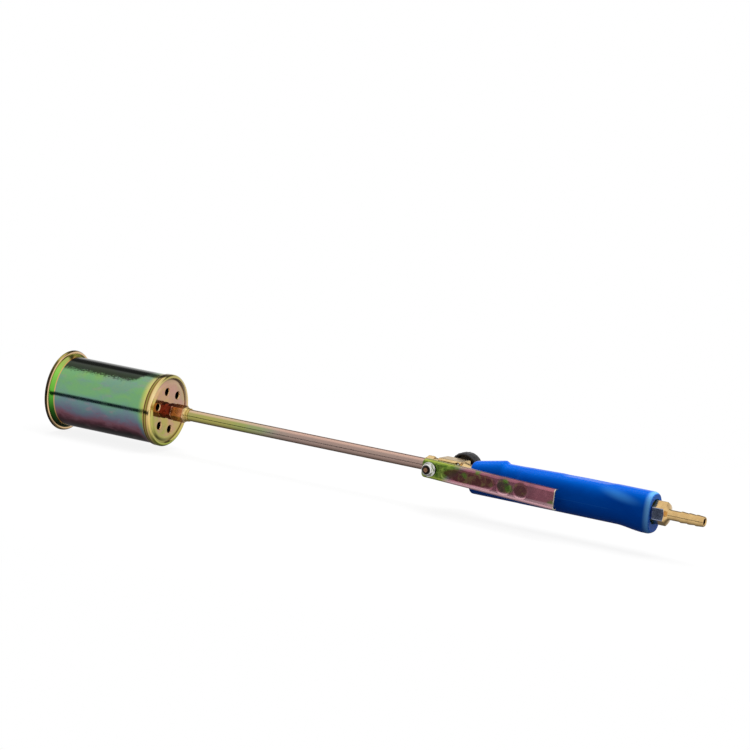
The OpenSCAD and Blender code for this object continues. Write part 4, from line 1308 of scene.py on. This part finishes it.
class TORCH_OT_handle(bpy.types.Operator):
    """Builds the hollow moulded handle with its round pocket at the rear"""
    bl_idname = "torch.handle"
    bl_label = "Handle"

    def execute(self, context):
        half_h, half_w, wall, square = 15.6, 12.2, 2.8, 0.76
        hump_end, hump_front, hump_rise, waist = 26.5, 11.0, 2.0, 1.6
        lip_r, lip_angle, front_round = 5.0, radians(48.0), 3.0
        end_wall, pocket = 6.0, 10.11
        front_bore, sleeve_r, sleeve_bore, rib_foot = 6.3, 7.4, 5.1, 7.2
        scoop_from, scoop_to, scoop_depth = 78, 128, 0.9
        waist_len, hump_fade = 80, 4
        step_from, step_to, step_in = 42.0, 48.0, 1.5
        flare_from, flare_to, flare_low = 27, 3, 2.4
        lip_x = HANDLE_LEN - lip_r * sin(lip_angle)
        around = 120

        def top(x):
            """Height of the top over the axis."""
            if x < hump_end:
                return hump_front + (half_h - waist + hump_rise - hump_front) * x / hump_end
            return (half_h - waist * (1 - ease(x, hump_end, hump_end + waist_len))
                    + hump_rise * (1 - ease(x, hump_end, hump_end + hump_fade)))

        def low(x):
            """Depth of the underside below the axis."""
            return half_h + flare_low * ease(x, lip_x - flare_from, lip_x - flare_to)

        def half(x):
            """Half the width."""
            return half_w - step_in * (1 - ease(x, step_from, step_to))

        def ring(x, station, inset):
            """Section placed at x, with the handle's form at a station, moved in by inset."""
            t, w, d = top(station) - inset, half(station) - inset, low(station) - inset
            made = []
            for k in range(around):
                c, s = cos(2 * pi * k / around), sin(2 * pi * k / around)
                y = w * (abs(c) ** square) * (1 if c >= 0 else -1)
                z = (t - d) / 2 + (t + d) / 2 * (abs(s) ** square) * (1 if s >= 0 else -1)
                # Shallow scoop along the top, where a thumb rests
                if inset < wall and z > 0:
                    dip = ease(station, scoop_from, scoop_from + 8)
                    dip *= 1 - ease(station, scoop_to - 10, scoop_to)
                    z -= scoop_depth * dip * (1 - ease(abs(y), 2.5, 6.5))
                made.append((X_HANDLE + x, y, z))
            return made

        def circle(x, r):
            """Round section at x."""
            return [(X_HANDLE + x, r * cos(2 * pi * k / around), r * sin(2 * pi * k / around))
                    for k in range(around)]

        socket = HANDLE_LEN - 12.0
        rings = [circle(0.0, front_bore)]
        for k in range(7):
            t = pi / 2 * (1 - k / 6)
            rings.append(ring(front_round * (1 - sin(t)), front_round, front_round * (1 - cos(t))))
        x = front_round
        while x < lip_x - 1.0:
            x += 0.8 if step_from - 4 < x < step_to + 4 else 1.25
            rings.append(ring(x, x, 0.0))
        for k in range(11):
            t = lip_angle * k / 10
            rings.append(ring(lip_x + lip_r * sin(t), lip_x, lip_r * (1 - cos(t))))
        rings += [circle(HANDLE_LEN, pocket + 0.2), circle(HANDLE_LEN - 0.2, pocket),
                  circle(HANDLE_LEN - end_wall, pocket)]
        rings.append(ring(HANDLE_LEN - end_wall, lip_x, wall))
        for x in (lip_x - 9, lip_x - 16, lip_x - 28, 90.0, 70.0, 52.0, 45.0, 34.0, 20.0):
            rings.append(ring(x, x, wall))
        rings.append(ring(8.0, 8.0, wall))
        rings += [circle(8.0, sleeve_r), circle(socket, sleeve_r), circle(socket, sleeve_bore),
                  circle(21.0, sleeve_bore), circle(20.5, front_bore)]
        verts = [p for r in rings for p in r]
        faces = []
        for i in range(len(rings)):
            j = (i + 1) % len(rings)
            for k in range(around):
                n = (k + 1) % around
                faces.append((i * around + k, j * around + k, j * around + n, i * around + n))
        skin = mesh_object("handle_skin", verts, faces)
        ribs = []
        for turn in range(4):
            box, sides = [], []
            stops = (7.5, hump_end, step_from, step_to, socket - 6)
            for x in stops:
                reach = (half(x), top(x), half(x), low(x))[turn] - wall + 0.3
                for side, r in ((-1.0, rib_foot), (-1.0, reach), (1.0, reach), (1.0, rib_foot)):
                    y, z = ((r, side), (-side, r), (-r, -side), (side, -r))[turn]
                    box.append((X_HANDLE + x, y, z))
            for i in range(len(stops) - 1):
                sides += [(4 * i + k, 4 * i + (k + 1) % 4, 4 * i + 4 + (k + 1) % 4, 4 * i + 4 + k)
                          for k in range(4)]
            last = 4 * (len(stops) - 1)
            sides += [(0, 1, 2, 3), (last, last + 1, last + 2, last + 3)]
            ribs.append(mesh_object("handle_rib", box, sides))
        whole = join("handle_moulding", [skin] + ribs)
        place(whole, finishes.handle, "torch_body", "blue_plastic", "handle")
        return {"FINISHED"}


class TORCH_OT_barb(bpy.types.Operator):
    """Builds the rear hex and the ridged hose barb"""
    bl_idname = "torch.barb"
    bl_label = "Hose barb"

    def execute(self, context):
        barb = context.scene.torch_barb
        pitch = barb.pitch / MM
        first, front = X_FIRST_RIDGE, X_REAR_HEX
        tip = first + barb.ridges * pitch + 0.5
        shank_r, ridge_r, bore_r = 4.1, 4.6, 2.5
        profile = rounded([
            (front, 5.0, 0), (front, 8.4, 0.3), (front + 0.7, 9.81, 0.3),
            (front + 21.1, 9.81, 0.25), (front + 21.7, 8.6, 0.3), (front + 23.4, 4.4, 0.4),
            (front + 24.1, shank_r, 0.4), (first + 0.3, shank_r, 0), (tip - 1.2, shank_r, 0.2),
            (tip, 3.8, 0.25), (tip, 3.0, 0.2), (tip - 0.6, bore_r, 0.2),
            (front + 7.0, bore_r, 0), (front + 7.0, 5.0, 0)], 0.2, 4)
        body = turned("barb_body", split_long(profile, 0.6), segments=180,
                      hexes=[(front - 0.05, front + 21.75, 17.0)])
        ridge = turned("ridge_source", rounded([
            (first, 3.6, 0), (first, ridge_r, 0.12), (first + 1.2, ridge_r, 0.4),
            (first + pitch - 0.1, shank_r + 0.02, 0.1), (first + pitch - 0.1, 3.6, 0)],
            0.1, 4), segments=96)
        ridges = grown("barb_ridges", finishes.row, {
            "Piece": ridge, "Count": barb.ridges, "Step": (barb.pitch, 0.0, 0.0),
            "Material": finishes.barb})
        whole = join("hose_barb_turning", [body, ridges])
        place(whole, finishes.barb, "torch_body", "brass", "hose_barb")
        return {"FINISHED"}


class TORCH_OT_packed_nodes(bpy.types.Operator):
    """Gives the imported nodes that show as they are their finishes"""
    bl_idname = "torch.packed_nodes"
    bl_label = "Small parts"

    def execute(self, context):
        f = finishes
        dress(f.raw, "mixer_tube", "flame_holder")
        dress(f.steel, "plate_washer", "plunger", "knob_screw", "needle_spindle", "end_washer")
        dress(f.brass, "plate_locknut", "gas_jet", "rear_ferrule", "gland_nut", "plunger_gland",
              "inlet_tube")
        dress(f.rubber, "spindle_seal", "plunger_seal")
        return {"FINISHED"}


class TORCH_OT_studio(bpy.types.Operator):
    """Builds the pale floor, the soft light and the world"""
    bl_idname = "torch.studio"
    bl_label = "Studio"

    def execute(self, context):
        studio = context.scene.torch_studio
        scene = context.scene
        size, gap = 40.0, 0.0004
        z = cad_box[0][2] - gap
        floor = mesh_object("floor", [(-size, -size, z), (size, -size, z), (size, size, z),
                                      (-size, size, z)], [(0, 1, 2, 3)], in_mm=False)
        floor.data.materials.append(self.floor_material())
        lamp = bpy.data.lights.new("key", "AREA")
        lamp.shape = "RECTANGLE"
        lamp.size, lamp.size_y = 1.6, 1.0
        lamp.energy = studio.key_power
        key = bpy.data.objects.new("key", lamp)
        spot = Vector((-0.35, 0.22, 1.3))
        key.matrix_world = Matrix.Translation(spot) @ (
            Vector((-0.3, 0.0, 0.0)) - spot).to_track_quat("-Z", "Y").to_matrix().to_4x4()
        key.visible_glossy = False
        scene.collection.objects.link(key)
        self.world(scene)
        scene.view_settings.view_transform = "Standard"
        return {"FINISHED"}

    def floor_material(self):
        """Pale floor: white away from the torch, with its shadow kept near it. Reflections
        look through it, so that the studio's panels show in the metal all round."""
        material = bpy.data.materials.new("pale_floor")
        b = blank_board(material)
        path = b.node("ShaderNodeLightPath").outputs
        coords = b.node("ShaderNodeTexCoord").outputs["Object"]
        middle = b.node("ShaderNodeMapping", {
            "Vector": coords, "Location": (0.16, 0.0, 0.0), "Scale": (0.55, 1.0, 0.0)})
        away = b.node("ShaderNodeVectorMath", {0: middle.outputs[0]},
                      operation="LENGTH").outputs["Value"]
        tone = b.mix(b.noise(coords, 3.0, 3.0), (0.80, 0.80, 0.80, 1), (0.83, 0.83, 0.83, 1))
        matt = b.node("ShaderNodeBsdfDiffuse", {"Color": tone})
        dim = b.node("ShaderNodeBsdfDiffuse", {"Color": (0.10, 0.10, 0.11, 1)})
        white = b.node("ShaderNodeEmission", {"Color": (1, 1, 1, 1), "Strength": 1.0})
        clear = b.node("ShaderNodeBsdfTransparent", {"Color": (1, 1, 1, 1)})
        shown = b.node("ShaderNodeMixShader", {
            0: b.span(away, 0.12, 0.5, 0.88, 1.0), 1: matt.outputs[0], 2: white.outputs[0]})
        glossy = b.node("ShaderNodeMixShader", {
            0: path["Is Glossy Ray"], 1: dim.outputs[0], 2: clear.outputs[0]})
        seen = b.node("ShaderNodeMixShader", {
            0: path["Is Camera Ray"], 1: glossy.outputs[0], 2: shown.outputs[0]})
        b.node("ShaderNodeOutputMaterial", {"Surface": seen.outputs[0]})
        return material

    def world(self, scene):
        """White to the camera; soft light from above; bright and dark panels in reflections."""
        world = bpy.data.worlds.new("studio")
        scene.world = world
        b = blank_board(world)
        coords = b.node("ShaderNodeTexCoord").outputs["Generated"]
        x, y, z = b.xyz(coords)
        turn = b.math("ARCTAN2", z, b.math("MULTIPLY", y, -1.0))

        def at(degrees):
            """Place of an angle on the ramp."""
            return (degrees + 180.0) / 360.0

        slate = (0.02, 0.03, 0.045, 1.0)
        panels = b.ramp(b.affine(turn, 1 / (2 * pi), 0.5), [
            (at(-180), 0.85), (at(-165), 0.75), (at(-145), 0.12), (at(-110), 0.18),
            (at(-70), 0.5), (at(-30), 0.8), (at(-16.5), 0.85), (at(-13.8), slate),
            (at(-5), slate), (at(-2.2), 0.9), (at(40), 0.9), (at(75), 1.0), (at(119), 1.0),
            (at(127), 0.12), (at(148), 0.10), (at(158), 0.7), (at(180), 0.85)])
        # A soft box stands at the hose end
        end_on = b.span(x, 0.6, 0.85)
        panels = b.mix(end_on, panels, (1, 1, 1, 1))
        light = b.ramp(b.affine(z, 0.5, 0.5), [
            (0.0, 0.03), (0.45, 0.05), (0.55, 0.09), (0.75, 0.34), (1.0, 1.0)])
        light = b.mix(b.span(x, 0.5, 0.95), light, (0.9, 0.9, 0.9, 1))
        path = b.node("ShaderNodeLightPath").outputs
        colour = b.mix(path["Is Glossy Ray"], light, panels)
        colour = b.mix(path["Is Transmission Ray"], colour, (1, 1, 1, 1))
        colour = b.mix(path["Is Camera Ray"], colour, (1, 1, 1, 1))
        back = b.node("ShaderNodeBackground", {"Color": colour, "Strength": 1.0})
        b.node("ShaderNodeOutputWorld", {"Surface": back.outputs[0]})


class TORCH_PT_panel(bpy.types.Panel):
    """Lists the steps that build the torch"""
    bl_idname = "TORCH_PT_panel"
    bl_label = "Propane torch"
    bl_space_type = "VIEW_3D"
    bl_region_type = "UI"
    bl_category = "Torch"

    def draw(self, context):
        for step in STEPS:
            self.layout.operator(step.bl_idname)


STEPS = [
    TORCH_OT_camera, TORCH_OT_finishes, TORCH_OT_burner, TORCH_OT_back_plate, TORCH_OT_nozzle,
    TORCH_OT_tube, TORCH_OT_valve, TORCH_OT_knob, TORCH_OT_lever, TORCH_OT_pivot,
    TORCH_OT_handle, TORCH_OT_barb, TORCH_OT_packed_nodes, TORCH_OT_studio,
]
SETTINGS = {
    "torch_studio": TorchStudioSettings, "torch_burner": TorchBurnerSettings,
    "torch_knob": TorchKnobSettings, "torch_handle": TorchHandleSettings,
    "torch_barb": TorchBarbSettings,
}
CLASSES = list(SETTINGS.values()) + STEPS + [TORCH_PT_panel]


def register():
    """Registers the classes and hangs their settings on the scene."""
    for item in CLASSES:
        bpy.utils.register_class(item)
    for name, group in SETTINGS.items():
        setattr(bpy.types.Scene, name, bpy.props.PointerProperty(type=group))


def unregister():
    """Takes away what register added."""
    for name in SETTINGS:
        delattr(bpy.types.Scene, name)
    for item in reversed(CLASSES):
        bpy.utils.unregister_class(item)


def main():
    """Registers the add-on and runs every step."""
    register()
    for step in STEPS:
        area, name = step.bl_idname.split(".")
        getattr(getattr(bpy.ops, area), name)()


if __name__ == "__main__":
    main()
